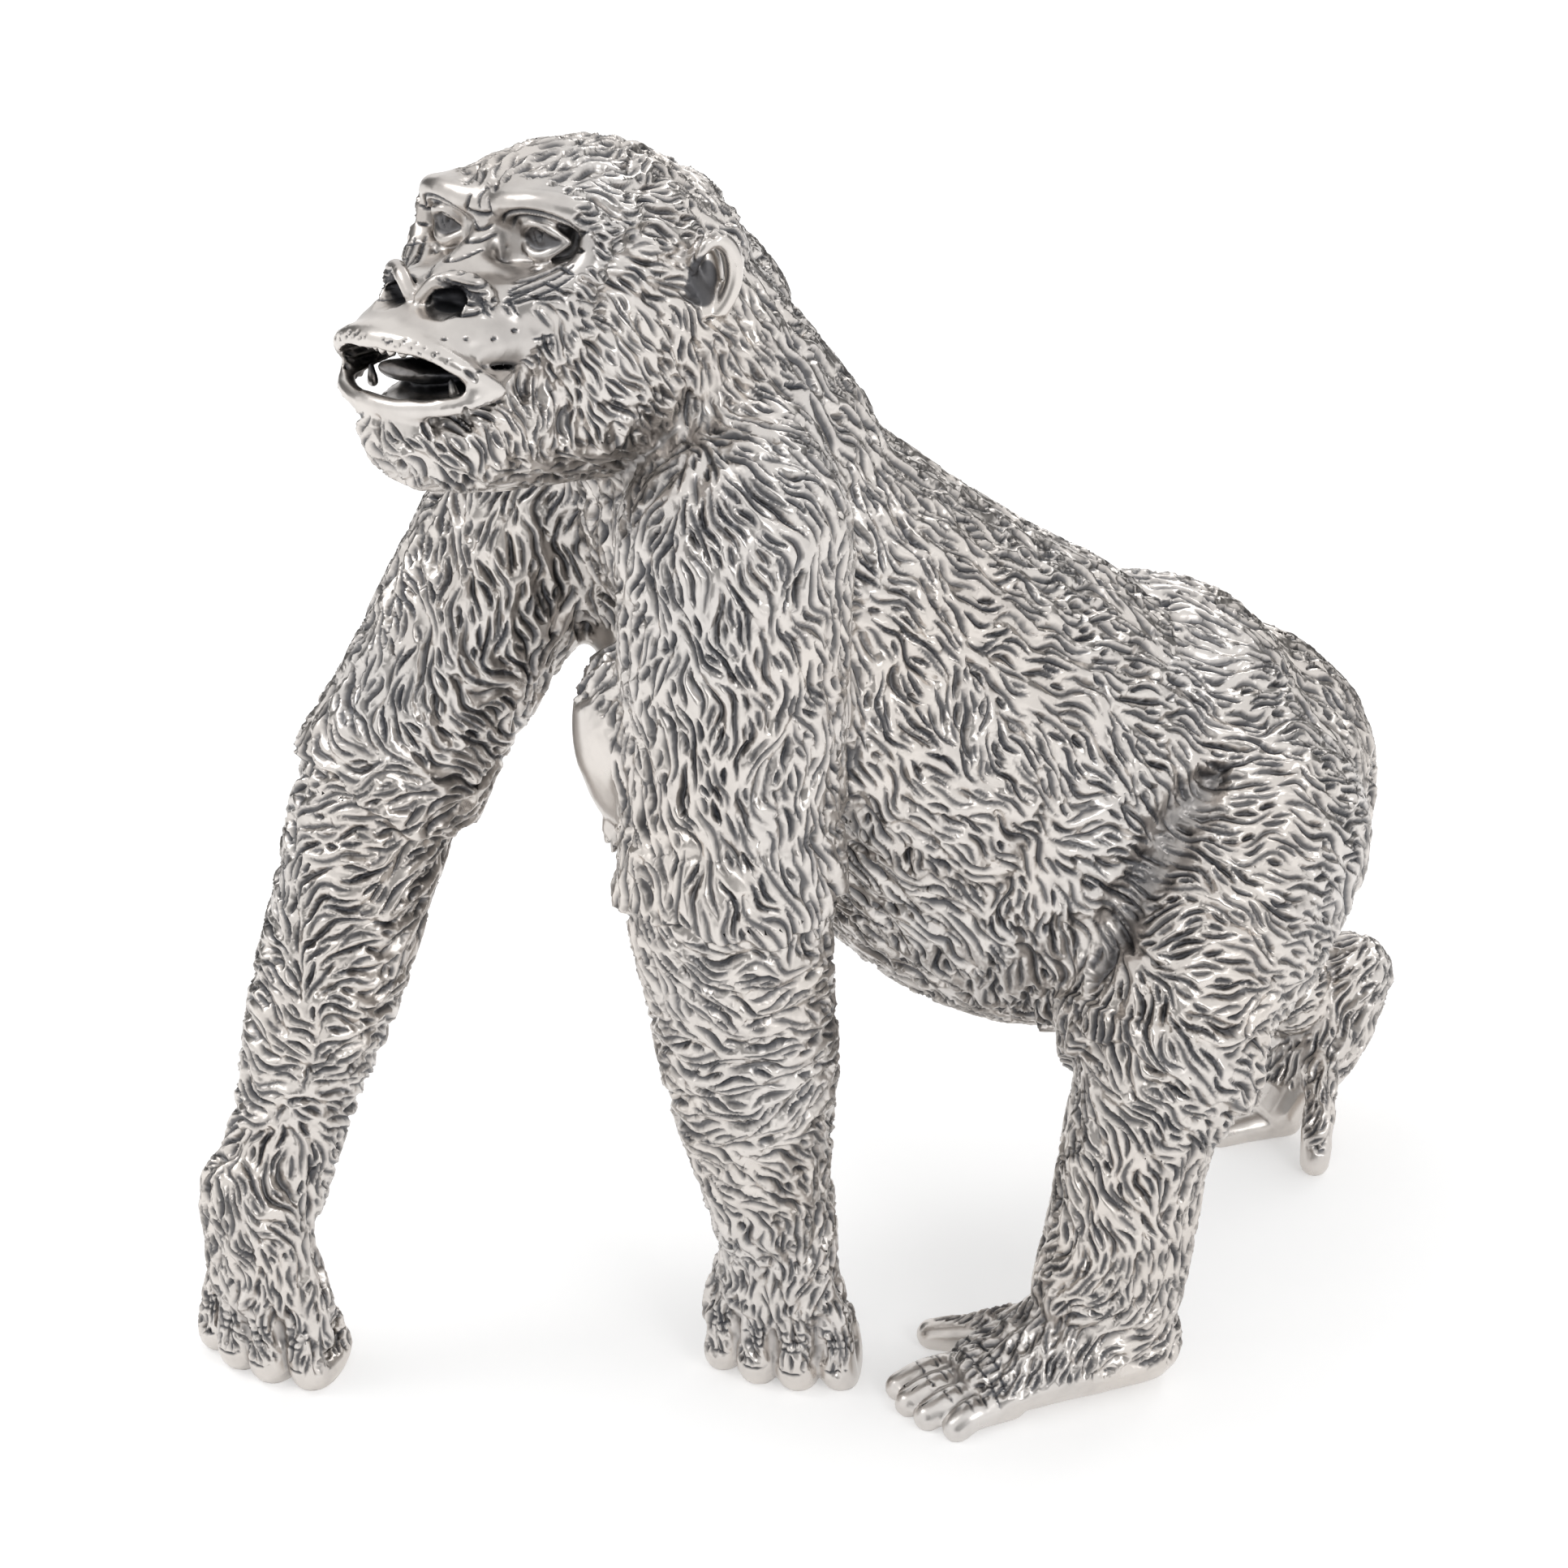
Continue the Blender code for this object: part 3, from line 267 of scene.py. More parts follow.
# Neck, chest, belly, rump and breasts
def pressTrunk(clay, joints):
    y = joints["trunk"]
    clay.tube([
        (0, y[0.0], cast.shoulderHeight-3.2, cast.chestRadius*0.89, cast.chestRadius*0.78),
        (0, y[0.21], cast.shoulderHeight-14.8, cast.chestRadius*1.01, cast.chestRadius*0.91),
        (0, y[0.42]-0.8, cast.shoulderHeight-28.4, cast.bellyRadius*0.88, cast.bellyRadius*0.95),
        (0, y[0.62]-0.4, cast.hipHeight+1.2, cast.bellyRadius*0.95, cast.bellyRadius),
        (0, y[0.83]+0.4, cast.hipHeight+1.5, cast.pelvisRadius, cast.pelvisRadius*1.04),
        (0, y[1.0]-1.8, cast.hipHeight+0.2, cast.pelvisRadius*0.83, cast.pelvisRadius*0.78)], segments=32)
    clay.tube([
        (1.6, y[0.0]-10, cast.shoulderHeight+16.5, cast.neckRadius*0.9),
        (0.8, y[0.0]-4.5, cast.shoulderHeight+9.2, cast.neckRadius),
        (0, y[0.0]+1, cast.shoulderHeight-1.2, cast.chestRadius*0.82, cast.neckRadius*1.18)], segments=28)
    for side, name in ((1, "left_shoulder"), (-1, "right_shoulder")):
        x, shoulderY, z = joints[name]
        clay.tube([
            (side*3, y[0.0]-1, z+6, 5.6, 6.4),
            (x*0.66, (y[0.0]+shoulderY)/2+0.5, z+3.6, 7.2),
            (x, shoulderY, z, cast.armRadius*0.9, cast.armRadius*0.94)], side=(0, 1, 0))
        wide = cast.chestRadius*side
        full = cast.chestRadius*(1.0 if side > 0 else 0.86)
        clay.tube([
            (wide*0.5, y[0.0]-4.4, cast.shoulderHeight-10, full*0.48, full*0.5),
            (wide*0.56, y[0.21]-4.4, cast.shoulderHeight-20, full*0.54, full*0.54),
            (wide*0.62, y[0.42]-3.6, cast.shoulderHeight-29, full*0.6, full*0.76)])
        setBack = 0 if side > 0 else cast.breastStagger
        breast = (side*cast.chestRadius*0.42, y[0.0]-11.6+setBack, cast.shoulderHeight-16.5)
        clay.tube([
            (*breast, cast.breastRadius),
            (breast[0]+side*0.5, breast[1]-1.2, breast[2]-cast.breastDrop*0.5, cast.breastRadius*0.86),
            (breast[0]+side*0.6, breast[1]-1.6, breast[2]-cast.breastDrop, cast.breastRadius*0.5)],
            side=(1, 0, 0))


# Arms to the wrists and legs to the ankles
def pressLimbs(clay, joints):
    for side in ("left", "right"):
        shoulder, elbow, wrist = (joints[side+"_"+name] for name in ("shoulder", "elbow", "wrist"))
        girth, lower = (1.0, 1.0) if side == "left" else (0.93, 0.87)
        clay.tube([
            (*shoulder, cast.armRadius*girth, cast.armRadius*1.06*girth),
            (*mix(shoulder, elbow, 0.33), cast.armRadius*girth, cast.armRadius*1.03*girth),
            (*mix(shoulder, elbow, 0.67), cast.armRadius*0.94*girth, cast.armRadius*1.0*girth),
            (*elbow, cast.forearmRadius*1.03*lower, cast.forearmRadius*1.06*lower),
            (*mix(elbow, wrist, 0.24), cast.forearmRadius*1.0*lower, cast.forearmRadius*0.98*lower),
            (*mix(elbow, wrist, 0.52), cast.forearmRadius*0.92*lower, cast.forearmRadius*0.93*lower),
            (*mix(elbow, wrist, 0.8), cast.forearmRadius*0.72*lower, cast.forearmRadius*0.76*lower),
            (*wrist, cast.wristRadius, cast.wristRadius*1.1)])
    hip, knee, ankle = (joints["left_"+name] for name in ("hip", "knee", "ankle"))
    clay.tube([
        (*hip, cast.thighRadius, cast.thighRadius*1.14),
        (*mix(hip, (knee[0], knee[1], knee[2]+3), 0.5), cast.thighRadius, cast.thighRadius*1.06),
        (knee[0]-1, knee[1]+2, knee[2]+4, cast.thighRadius*0.85, cast.thighRadius*0.86),
        (knee[0]+0.4, knee[1]+0.7, knee[2]-2.5, cast.kneeRadius*0.97),
        (*(mix(knee, ankle, 0.34)-(0, 0.7, 0)), cast.shinRadius*1.04, cast.shinRadius*1.16),
        (*(mix(knee, ankle, 0.7)-(0, 1.5, 0)), cast.shinRadius*0.98, cast.shinRadius*1.18),
        (ankle[0], ankle[1]-2.4, ankle[2], cast.shinRadius*0.92, cast.shinRadius*1.24)])
    hip, knee, ankle = (joints["right_"+name] for name in ("hip", "knee", "ankle"))
    clay.tube([
        (*hip, cast.thighRadius, cast.thighRadius*1.14),
        (*mix(hip, knee, 0.55), cast.thighRadius*0.94, cast.thighRadius),
        (*knee, cast.kneeRadius*1.02, cast.kneeRadius*1.04),
        (*mix(knee, ankle, 0.36), cast.shinRadius*1.22),
        (*mix(knee, ankle, 0.74), cast.shinRadius*1.02),
        (*ankle, cast.shinRadius*0.86)])


# A fist on its knuckles. back is the turn of its outer face, thumb the side of the thumb
def pressHand(clay, place, back, thumb):
    put = frameAt(place, back)
    palm = cast.fingerPitch*1.6
    clay.tube([
        (0, 0.3, cast.wristHeight+0.6, cast.wristRadius*1.02, cast.wristRadius),
        (thumb*0.3, 0.4, (cast.wristHeight+cast.knuckleHeight)/2-0.4, palm*1.14, palm*0.88),
        (0, 0.2, cast.knuckleHeight-1, palm*1.18, palm*0.68)], put=put)
    for placeInRow in (-1.5, -0.5, 0.5, 1.5):
        outer = abs(placeInRow) > 1
        x = placeInRow*cast.fingerPitch
        setBack = 0.9 if outer else -0.2
        radius = cast.fingerRadius*(0.88 if outer else 0.98)
        clay.tube([
            (x*0.9, setBack+0.2, cast.knuckleHeight, radius),
            (x*1.12, setBack-0.7, cast.knuckleHeight*0.57, radius),
            (x*1.22, setBack-0.6, radius*1.1, radius*1.05),
            (x*1.18, setBack+1.9, radius*0.8, radius*0.95),
            (x*1.06, setBack+4.1, radius*1.4, radius*0.85),
            (x*0.95, setBack+3.9, cast.knuckleHeight*0.5, radius*0.8)], segments=12, put=put)
    clay.tube([
        (thumb*palm*0.84, 1.5, cast.knuckleHeight+2.5, cast.fingerRadius),
        (thumb*palm*1.2, 1.4, cast.knuckleHeight-1.5, cast.fingerRadius*0.9),
        (thumb*palm*1.32, 1.0, cast.knuckleHeight*0.53, cast.fingerRadius*0.72)], segments=12, put=put)


# Flat on the ground, with four toes in front and the great toe to the inside
def pressLeftFoot(clay, joints):
    x, y, _ = joints["left_ankle"]
    half = cast.footWidth/2
    thick = cast.footThickness/2
    front = y-cast.footLength
    clay.tube([
        (x+0.7, y+0.1, thick*1.02, half*0.8, thick),
        (x, y-cast.footLength*0.34, thick*1.1, half*0.9, thick*1.1),
        (x-0.9, front+1.8, thick*0.66, half*0.84, thick*0.62)])
    clay.tube([(x, y-0.5, cast.ankleHeight+4, cast.shinRadius*0.88),
               (x-0.5, y-5.0, thick*1.62, half*0.74, thick*0.95),
               (x-0.8, y-10, thick*1.1, half*0.72, thick*0.7)])
    for i in range(4):
        rootX = x+half*0.44-i*cast.toePitch
        splay = (i-1.4)*-0.3
        reach = cast.toeLength*(0.62, 0.86, 0.95, 0.9)[i]
        clay.tube([
            (rootX, front+2.5, cast.toeRadius*1.4, cast.toeRadius),
            (rootX+splay*0.6, front+1-reach*0.55, cast.toeRadius*1.5, cast.toeRadius),
            (rootX+splay, front+1-reach, cast.toeRadius*0.98, cast.toeRadius*0.92)], segments=12)
    clay.tube([
        (x-half*0.5, y-5.0, thick*0.95, cast.toeRadius*1.8),
        (x-half*1.05, y-9.0, thick*0.72, cast.toeRadius*1.55),
        (x-half*1.45, y-12.2, cast.toeRadius*1.4, cast.toeRadius*1.25),
        (x-half*1.72, y-14.6, cast.toeRadius*1.1, cast.toeRadius)], segments=14)


# Pushing off: the heel is up and the toes are on the ground
def pressRightFoot(clay, joints):
    x, y, z = joints["right_ankle"]
    half = cast.footWidth/2
    clay.tube([
        (x+0.5, y+7.2, cast.heelLift+0.9, half*0.72, half*0.76),
        (x+0.3, y+3.8, cast.heelLift*0.62, half*0.84, half*0.8),
        (x-0.2, cast.rearFootSet+0.6, cast.footThickness*0.4, half*0.95, cast.footThickness*0.34)])
    for i in range(4):
        side = (i-1.4)*cast.toePitch
        clay.tube([
            (x+side, cast.rearFootSet+1, cast.toeRadius*1.4, cast.toeRadius),
            (x-1.4+side*1.15, cast.rearFootSet-cast.toeLength*0.4, cast.toeRadius*1.3, cast.toeRadius),
            (x-2.4+side*1.25, cast.rearFootSet-cast.toeLength*0.88,
             cast.toeRadius*0.98, cast.toeRadius*0.9)], segments=12)
    clay.tube([
        (x+half*0.5, cast.rearFootSet+4.6, cast.heelLift*0.62, cast.toeRadius*1.4),
        (x+half*1.2, cast.rearFootSet+2.2, cast.heelLift*0.5, cast.toeRadius*1.2),
        (x+half*1.6, cast.rearFootSet+0.6, cast.heelLift*0.3, cast.toeRadius*1.1),
        (x+half*1.72, cast.rearFootSet, cast.toeRadius*1.1, cast.toeRadius)], segments=14)


# Skull, brow, cheeks and jaws
def pressHead(clay, put):
    def ball(centre, radii, tilt=0.0):
        clay.ball(centre, radii, tilt, "X", put)

    def tube(stations, side=(1, 0, 0)):
        clay.tube(stations, side, 16, put)

    ball((0, 10.6, -7.1), (10.2, 11.2, 10.8))
    ball((0, 7.6, -3.4), (9.0, 8.0, 7.6))
    ball((0, 17.0, -9.8), (9.6, 8.8, 10.4))
    tube([(0, 16, -9.6, 9.0, 9.2), (-2, 24, -15.6, 9.0, 8.8)])
    tube([(-7.2, 7.4, -1.8, 2.2), (-4.0, 5.6, 0.4, 2.7), (0, 5.2, 1.2, 2.8), (4.0, 5.6, 0.4, 2.7),
          (7.2, 7.4, -1.8, 2.2)], (0, 0, 1))
    ball((0, 2.8, 0.7), (8.4, 3.1, 2.4))
    tube([(-9.4, 4.8, -2.2, 1.2), (-8.3, 2.4, 0.3, 1.3), (-5.8, 0.6, 1.3, 1.2), (-2.8, 0.1, 1.2, 1.2),
          (0, 0.5, 0.7, 1.3), (2.8, 0.1, 1.2, 1.2), (5.8, 0.6, 1.3, 1.2), (8.3, 2.4, 0.3, 1.3),
          (9.4, 4.8, -2.2, 1.2)], (0, 0, 1))
    for side in (-1, 1):
        tube([(side*9.2, 3.0, -0.6, 1.4), (side*9.3, 2.3, -3.0, 1.6), (side*8.5, 0.8, -4.9, 2.0),
              (side*6.3, -1.6, -6.0, 2.3), (side*4.0, -4.2, -5.8, 2.0)], (0, 0, 1))
        tube([(side*1.9, -2.4, -3.9, 1.2), (side*4.4, -0.8, -4.7, 1.2), (side*7.0, 0.8, -4.4, 1.4)],
             (0, 0, 1))
        ball((side*5.0, 1.4, -8.6), (4.4, 5.8, 4.8))
        ball((side*6.4, 8.0, -13.2), (4.4, 8.6, 8.0))
        ball((side*2.9, -4.6, -5.8), (3.0, 4.6, 2.4), -8)
    tube([(0, 1.6, -1.2, 1.7), (0, -2.2, -2.9, 1.6, 1.3), (0, -5.2, -3.9, 1.9, 1.2),
          (0, -7.4, -4.6, 1.5, 1.0)])
    tube([(0, 0, -8.4, 7.2, 4.4), (0, -5, -8.0, 7.2, 3.9), (0, -9, -7.6, 6.6, 3.0),
          (0, -11.6, -7.0, 4.6, 1.6)])
    tube([(0, 0, -14.4, 6.8, 6.0), (0, -5, -15.8, 7.0, 5.4), (0, -9.4, -15.6, 6.4, 4.3),
          (0, -12.0, -14.6, 4.6, 2.6)])
    half = cast.mouthWidth/2
    upper = -6.6
    lower = upper-cast.mouthGape-2*cast.lipRadius
    lip = cast.lipRadius
    for front, level in ((-12.7, upper), (-13.2, lower)):
        near, far = mix(-10.9, level, 0.93), mix(-10.9, level, 0.55)
        tube([(-half, -7.9, -11.0, lip), (-half*0.86, -10.8, far, lip), (-half*0.5, front+0.6, near, lip),
              (0, front, level, lip),
              (half*0.5, front+0.6, near, lip), (half*0.86, -10.8, far, lip), (half, -7.9, -11.0, lip)],
             (0, 0, 1))
    tube([(0, -3, -17.4, 6.4, 4.6), (0, 7, -17.6, 8.0, 6.4), (-1.5, 15, -19, 9, 7)])


# Tongue, nose, eyes and eyelids, laid over the carved openings
def pressFace(clay, put):
    def tube(stations, side=(0, 0, 1)):
        clay.tube(stations, side, 12, put)

    tube([(0, -3, -12.2, 3.2, 1.4), (-0.6, -7, -10.9, 3.0, 1.1), (-0.8, -10.4, -9.9, 2.4, 0.8)],
         (1, 0, 0))
    for side in (-1, 1):
        tube([(side*0.6, -8.4, -4.3, 0.6), (side*2.0, -7.8, -3.1, 0.65), (side*4.1, -6.5, -3.2, 0.8),
              (side*5.2, -5.9, -4.8, 1.0), (side*4.3, -7.1, -6.2, 0.9), (side*2.3, -8.6, -6.3, 0.65)])
        eye = np.array((side*cast.eyeSpacing/2, 2.1, -1.4))
        radius = cast.eyeRadius
        clay.ball(put(eye)[0], [radius]*3)
        for lift in (1, -1):
            tube([(eye[0]-side*radius*1.08, eye[1]-radius*0.5, eye[2]-0.4, 0.36),
                  (eye[0]-side*radius*0.56, eye[1]-radius*0.92, eye[2]+lift*radius*0.47-0.1, 0.44),
                  (eye[0], eye[1]-radius*1.03, eye[2]+lift*radius*0.68-0.05, 0.48),
                  (eye[0]+side*radius*0.56, eye[1]-radius*0.84, eye[2]+lift*radius*0.52-0.1, 0.44),
                  (eye[0]+side*radius*1.08, eye[1]-radius*0.25, eye[2]-0.4, 0.36)])


# A thin shell that curls forward round a deep bowl
def pressEars(clay, put):
    high = cast.earHeight/2
    for side in (-1, 1):
        middle = np.array((side*9.9, 13.4, -7.4))
        rim = [(0.1, -1.4, 0.30, 0.6), (0.9, -1.2, 0.78, 0.75), (1.5, 0.2, 1.0, 0.8),
               (1.9, 1.5, 0.62, 0.8), (1.9, 1.7, -0.05, 0.75), (1.4, 0.9, -0.66, 0.75),
               (0.6, -0.3, -1.0, 0.8), (0.0, -1.0, -0.75, 0.7)]
        clay.tube([(middle[0]+side*x, middle[1]+y, middle[2]+z*high, r) for x, y, z, r in rim],
                  (0, 1, 0), 12, put)
        clay.ball(middle+np.array((side*0.1, 0.9, 0)), (0.8, 1.3, high*0.8), put=put)


# The object's mesh with its modifiers applied
def evaluated(thing):
    depsgraph = bpy.context.evaluated_depsgraph_get()
    depsgraph.update()
    return bpy.data.meshes.new_from_object(thing.evaluated_get(depsgraph))


# Melts overlapping forms into one skin
def blend(thing, grain, smoothing):
    remesh = thing.modifiers.new("Blend", "REMESH")
    remesh.mode = "VOXEL"
    remesh.voxel_size = grain*mm
    if smoothing:
        soften = thing.modifiers.new("Soften", "SMOOTH")
        soften.factor = 0.5
        soften.iterations = smoothing
    thing.data = evaluated(thing)
    thing.modifiers.clear()
    return thing


def join(things):
    with bpy.context.temp_override(active_object=things[0], selected_editable_objects=things):
        bpy.ops.object.join()
    return things[0]


# Pushes the skin in at the mouth, the nostrils and the bowls of the ears
def hollowFace(skull, joints):
    turned = turning(cast.headTurn, cast.headTilt)
    points = np.empty(len(skull.data.vertices)*3, np.float32)
    skull.data.vertices.foreach_get("co", points)
    local = (points.reshape(-1, 3)/mm-np.array(joints["brow"])) @ turned
    half = cast.mouthWidth/2
    gape = cast.mouthGape
    hollows = [((0, -10.2, -9.2), (half*0.84, 6.6, gape*0.58), 1, 1),
               ((0, -8.0, -10.4), (half*1.04, 5.2, gape*0.34), 1, 1)]
    for side in (-1, 1):
        hollows += [((side*2.6, -8.2, -4.6), (2.0, 2.2, 1.3), 1, 1),
                    ((side*11.1, 12.4, -7.3), (1.2, 1.5, cast.earHeight/2*0.66), 0, -side)]
    for centre, radii, axis, way in hollows:
        reach = (local-centre)/radii
        inside = np.sum(reach**2, axis=1) < 1
        across = np.sum(np.delete(reach[inside], axis, 1)**2, axis=1)
        local[inside, axis] = centre[axis]+way*radii[axis]*np.sqrt(1-across)
    skull.data.vertices.foreach_set("co", ((local @ turned.T+np.array(joints["brow"]))*mm).ravel())
    skull.data.update()


# Places on the body, and the way that the hair lies at each
def hairGuides(joints):
    guides = []

    def guide(place, way):
        guides.append((np.array(place, float), np.array(way, float)/np.linalg.norm(way)))

    head = frameAt(joints["brow"], cast.headTurn, cast.headTilt)
    turned = frameAt((0, 0, 0), cast.headTurn, cast.headTilt)
    for side in (-1, 1):
        for place, way in (((3, 3, 3), (0, 1, 0.5)), ((5, 12, 3), (0, 1, -0.15)),
                           ((5, 21, -3), (0, 0.6, -0.8)), ((9, 5, -1), (0.1, 1, 0.1)),
                           ((10, 11, -4), (0, 1, -0.35)), ((8, 4, -9), (0, 0.5, -1)),
                           ((10, 11, -12), (0, 0.35, -1)), ((6, -2, -16), (0, 0.5, -1)),
                           ((0, -12, -17), (0, 0.7, -1)), ((0, 0, -20), (0, 1, -0.2)),
                           ((9, 20, -10), (0, 0.5, -1))):
            guide(head(np.array(place)*(side, 1, 1))[0], turned(np.array(way)*(side, 1, 1))[0])
        name = "left" if side > 0 else "right"
        shoulder, elbow, wrist, hand = (np.array(joints[name+"_"+n])
                                        for n in ("shoulder", "elbow", "wrist", "hand"))
        hip, knee, ankle = (np.array(joints[name+"_"+n]) for n in ("hip", "knee", "ankle"))
        out = np.array((side*8, 0, 0))
        guide(shoulder+out+(0, 0, 4), (side*0.3, 0.3, -1))
        guide(shoulder+(0, -8, 0), (0, 0.1, -1))
        guide(mix(shoulder, elbow, 0.5)+out, (0, 0.15, -1))
        guide(mix(shoulder, elbow, 0.85)+out, (0, 0.3, -1))
        guide(elbow+out+(0, 0, -5), (0, 1, -0.3))
        guide(elbow-out+(0, 0, -5), (0, 1, 0.3))
        guide(mix(elbow, wrist, 0.5)+out, (0, 1, 0.25))
        guide(mix(elbow, wrist, 0.5)+(0, -8, 0), (side, 0.2, 0.1))
        guide(mix(elbow, wrist, 0.85)+out, (0, 0.6, -1))
        guide(hand+(0, 0, 12), (0, 0, -1))
        guide(hip+(side*10, 2, 4), (0, 1, -0.5))
        guide(hip+(side*6, 12, -4), (0, 0.5, -1))
        guide(mix(hip, knee, 0.5)+out, (0, 1, -0.35))
        guide(knee+out, (0, 1, -0.45))
        guide(knee+(0, -8, 0), (side*0.6, 0.2, -1))
        guide(mix(knee, ankle, 0.5)+out*0.8, (0, 0.1, -1))
        guide(ankle+(0, -6, -2), (0, -1, -0.6))
        y = joints["trunk"]
        guide((side*8, y[0.0]+6, cast.shoulderHeight+4), (side*0.2, 1, -0.8))
        guide((side*6, y[0.42], cast.shoulderHeight-8), (side*0.2, 1, -0.6))
        guide((side*6, y[0.83], cast.hipHeight+17), (side*0.2, 1, -0.4))
        guide((side*17, y[0.21], cast.shoulderHeight-16), (0, 0.5, -1))
        guide((side*18, y[0.42], cast.shoulderHeight-24), (0, 0.8, -0.8))
        guide((side*20, y[0.62], cast.hipHeight+6), (0, 0.9, -0.7))
        guide((side*18, y[0.42], cast.hipHeight-6), (0, 0.35, -1))
        guide((side*8, y[0.62], cast.hipHeight-18), (-side*0.3, 1, -0.3))
        guide((side*6, y[0.0]-8, cast.shoulderHeight-12), (0, 0.1, -1))
        guide((side*8, y[1.0]+10, cast.hipHeight-6), (0, 0.2, -1))
    return guides


# the lie of the hair at the points of a mesh
class Pelt:
    def __init__(self, mesh, guides, zones):
        points, normals = readPoints(mesh)
        head = np.linalg.norm(points-headMiddle(), axis=1) < 20.5
        hand = points[:, 2] < cast.wristHeight
        self.gaps = np.where(head, carve.headGap, np.where(hand, carve.handGap, carve.hairGap))
        self.lengths = np.where(head, 0, np.where(hand, 1, 2))
        self.bare = points[:, 2] < cast.groundClearance
        for centre, radii in zones:
            self.bare |= np.sum(((points-centre)/radii)**2, axis=1) < 1
        ways = self.comb(points, normals, guides)
        self.spots = [Vector(p) for p in points]
        self.normals = [Vector(n) for n in normals]
        self.ways = [Vector(w) for w in ways]
        self.sides = [Vector(s) for s in np.cross(normals, ways)]
        self.find = treeOf(points).find

    def comb(self, points, normals, guides):
        ways = np.zeros_like(points)
        for place, way in guides:
            ways += way/((np.sum((points-place)**2, axis=1)+4)**2)[:, None]
        turn = np.zeros(len(points))
        for pitch, phase in waves:
            turn += 0.2*np.sin(points @ np.array(pitch)*0.62+phase)
            turn += 0.22*np.sin(points @ np.array(pitch[::-1])*1.25+phase*2)
        turn = turn[:, None]
        ways -= normals*np.sum(ways*normals, axis=1)[:, None]
        ways /= np.linalg.norm(ways, axis=1)[:, None]+1e-9
        return ways*np.cos(turn)+np.cross(normals, ways)*np.sin(turn)

    # one way along the hair from a place, until it comes too near to another stroke
    def trace(self, start, step, steps, phase, pitch, sway, crowded):
        path, here = [], start
        place = self.spots[start]
        for i in range(1, steps+1):
            turn = math.sin(phase+i*pitch)*sway
            ahead = place+(self.ways[here]*math.cos(turn)+self.sides[here]*math.sin(turn))*step
            here = self.find(ahead)[1]
            ahead -= self.normals[here]*(ahead-self.spots[here]).dot(self.normals[here])
            if self.bare[here] or crowded(ahead):
                break
            path.append(ahead)
            place = ahead
        return path

    # strokes that keep apart from one another: each is its points, half widths and luck
    def strokes(self, gaps, lengths, seed, sway):
        rng = np.random.default_rng(seed)
        cell = float(np.max(gaps))
        taken, found = {}, []
        around = [(i, j, k) for i in (-1, 0, 1) for j in (-1, 0, 1) for k in (-1, 0, 1)]

        def clear(place, reach):
            x, y, z = (math.floor(c/cell) for c in place)
            limit = reach*reach
            for i, j, k in around:
                for other in taken.get((x+i, y+j, z+k), ()):
                    if (other-place).length_squared < limit:
                        return False
            return True

        for index in rng.permutation(len(self.spots)):
            if self.bare[index]:
                continue
            gap = float(gaps[index])
            if not clear(self.spots[index], gap*carve.strokeStart):
                continue
            step = gap*carve.strokeStep
            least, most = lengths[self.lengths[index]]
            steps = int(rng.uniform(least, most)/step/2)+1
            phase, pitch = rng.uniform(0, 2*math.pi), rng.uniform(0.25, 0.45)

            def crowded(place):
                return not clear(place, gap*carve.strokeNear)

            ahead = self.trace(index, step, steps, phase, pitch, sway, crowded)
            behind = self.trace(index, -step, steps, phase, -pitch, sway, crowded)
            path = behind[::-1]+[self.spots[index]]+ahead
            if len(path)*step < least*0.4:
                continue
            for place in path:
                taken.setdefault(tuple(math.floor(c/cell) for c in place), []).append(place)
            share = (np.arange(len(path))+0.7)/(len(path)+0.4)
            wide = gap*carve.strokeWidth*np.sin(math.pi*share)**0.5
            found.append((np.array(path), wide, rng.uniform()))
        return found


def headMiddle():
    return np.array((0.0, cast.browSet+8, cast.browHeight-8))


def readPoints(mesh):
    count = len(mesh.vertices)
    points, normals = np.empty(count*3, np.float32), np.empty(count*3, np.float32)
    mesh.vertices.foreach_get("co", points)
    mesh.vertices.foreach_get("normal", normals)
    return points.reshape(-1, 3)/mm, normals.reshape(-1, 3)


def treeOf(points):
    tree = kdtree.KDTree(len(points))
    for index, point in enumerate(points):
        tree.insert(point, index)
    tree.balance()
    return tree


# how far each point is from its nearest stroke, in half widths, with the stroke's half width and luck
def nearStrokes(points, strokes):
    samples = np.vstack([path for path, _, _ in strokes])
    half = np.concatenate([wide for _, wide, _ in strokes])
    luck = np.concatenate([np.full(len(path), chance) for path, _, chance in strokes])
    owner = np.concatenate([np.full(len(path), index) for index, (path, _, _) in enumerate(strokes)])
    find = treeOf(samples).find
    nearest = np.array([find(point)[1] for point in points])
    away = np.linalg.norm(points-samples[nearest], axis=1)
    for step in (-1, 1):
        other = np.clip(nearest+step, 0, len(samples)-1)
        run = samples[other]-samples[nearest]
        share = np.clip(np.sum((points-samples[nearest])*run, axis=1)/(np.sum(run*run, axis=1)+1e-9), 0, 1)
        share[owner[other] != owner[nearest]] = 0
        away = np.minimum(away, np.linalg.norm(points-samples[nearest]-run*share[:, None], axis=1))
    wide = half[nearest]+1e-6
    return away/wide, wide, luck[nearest]


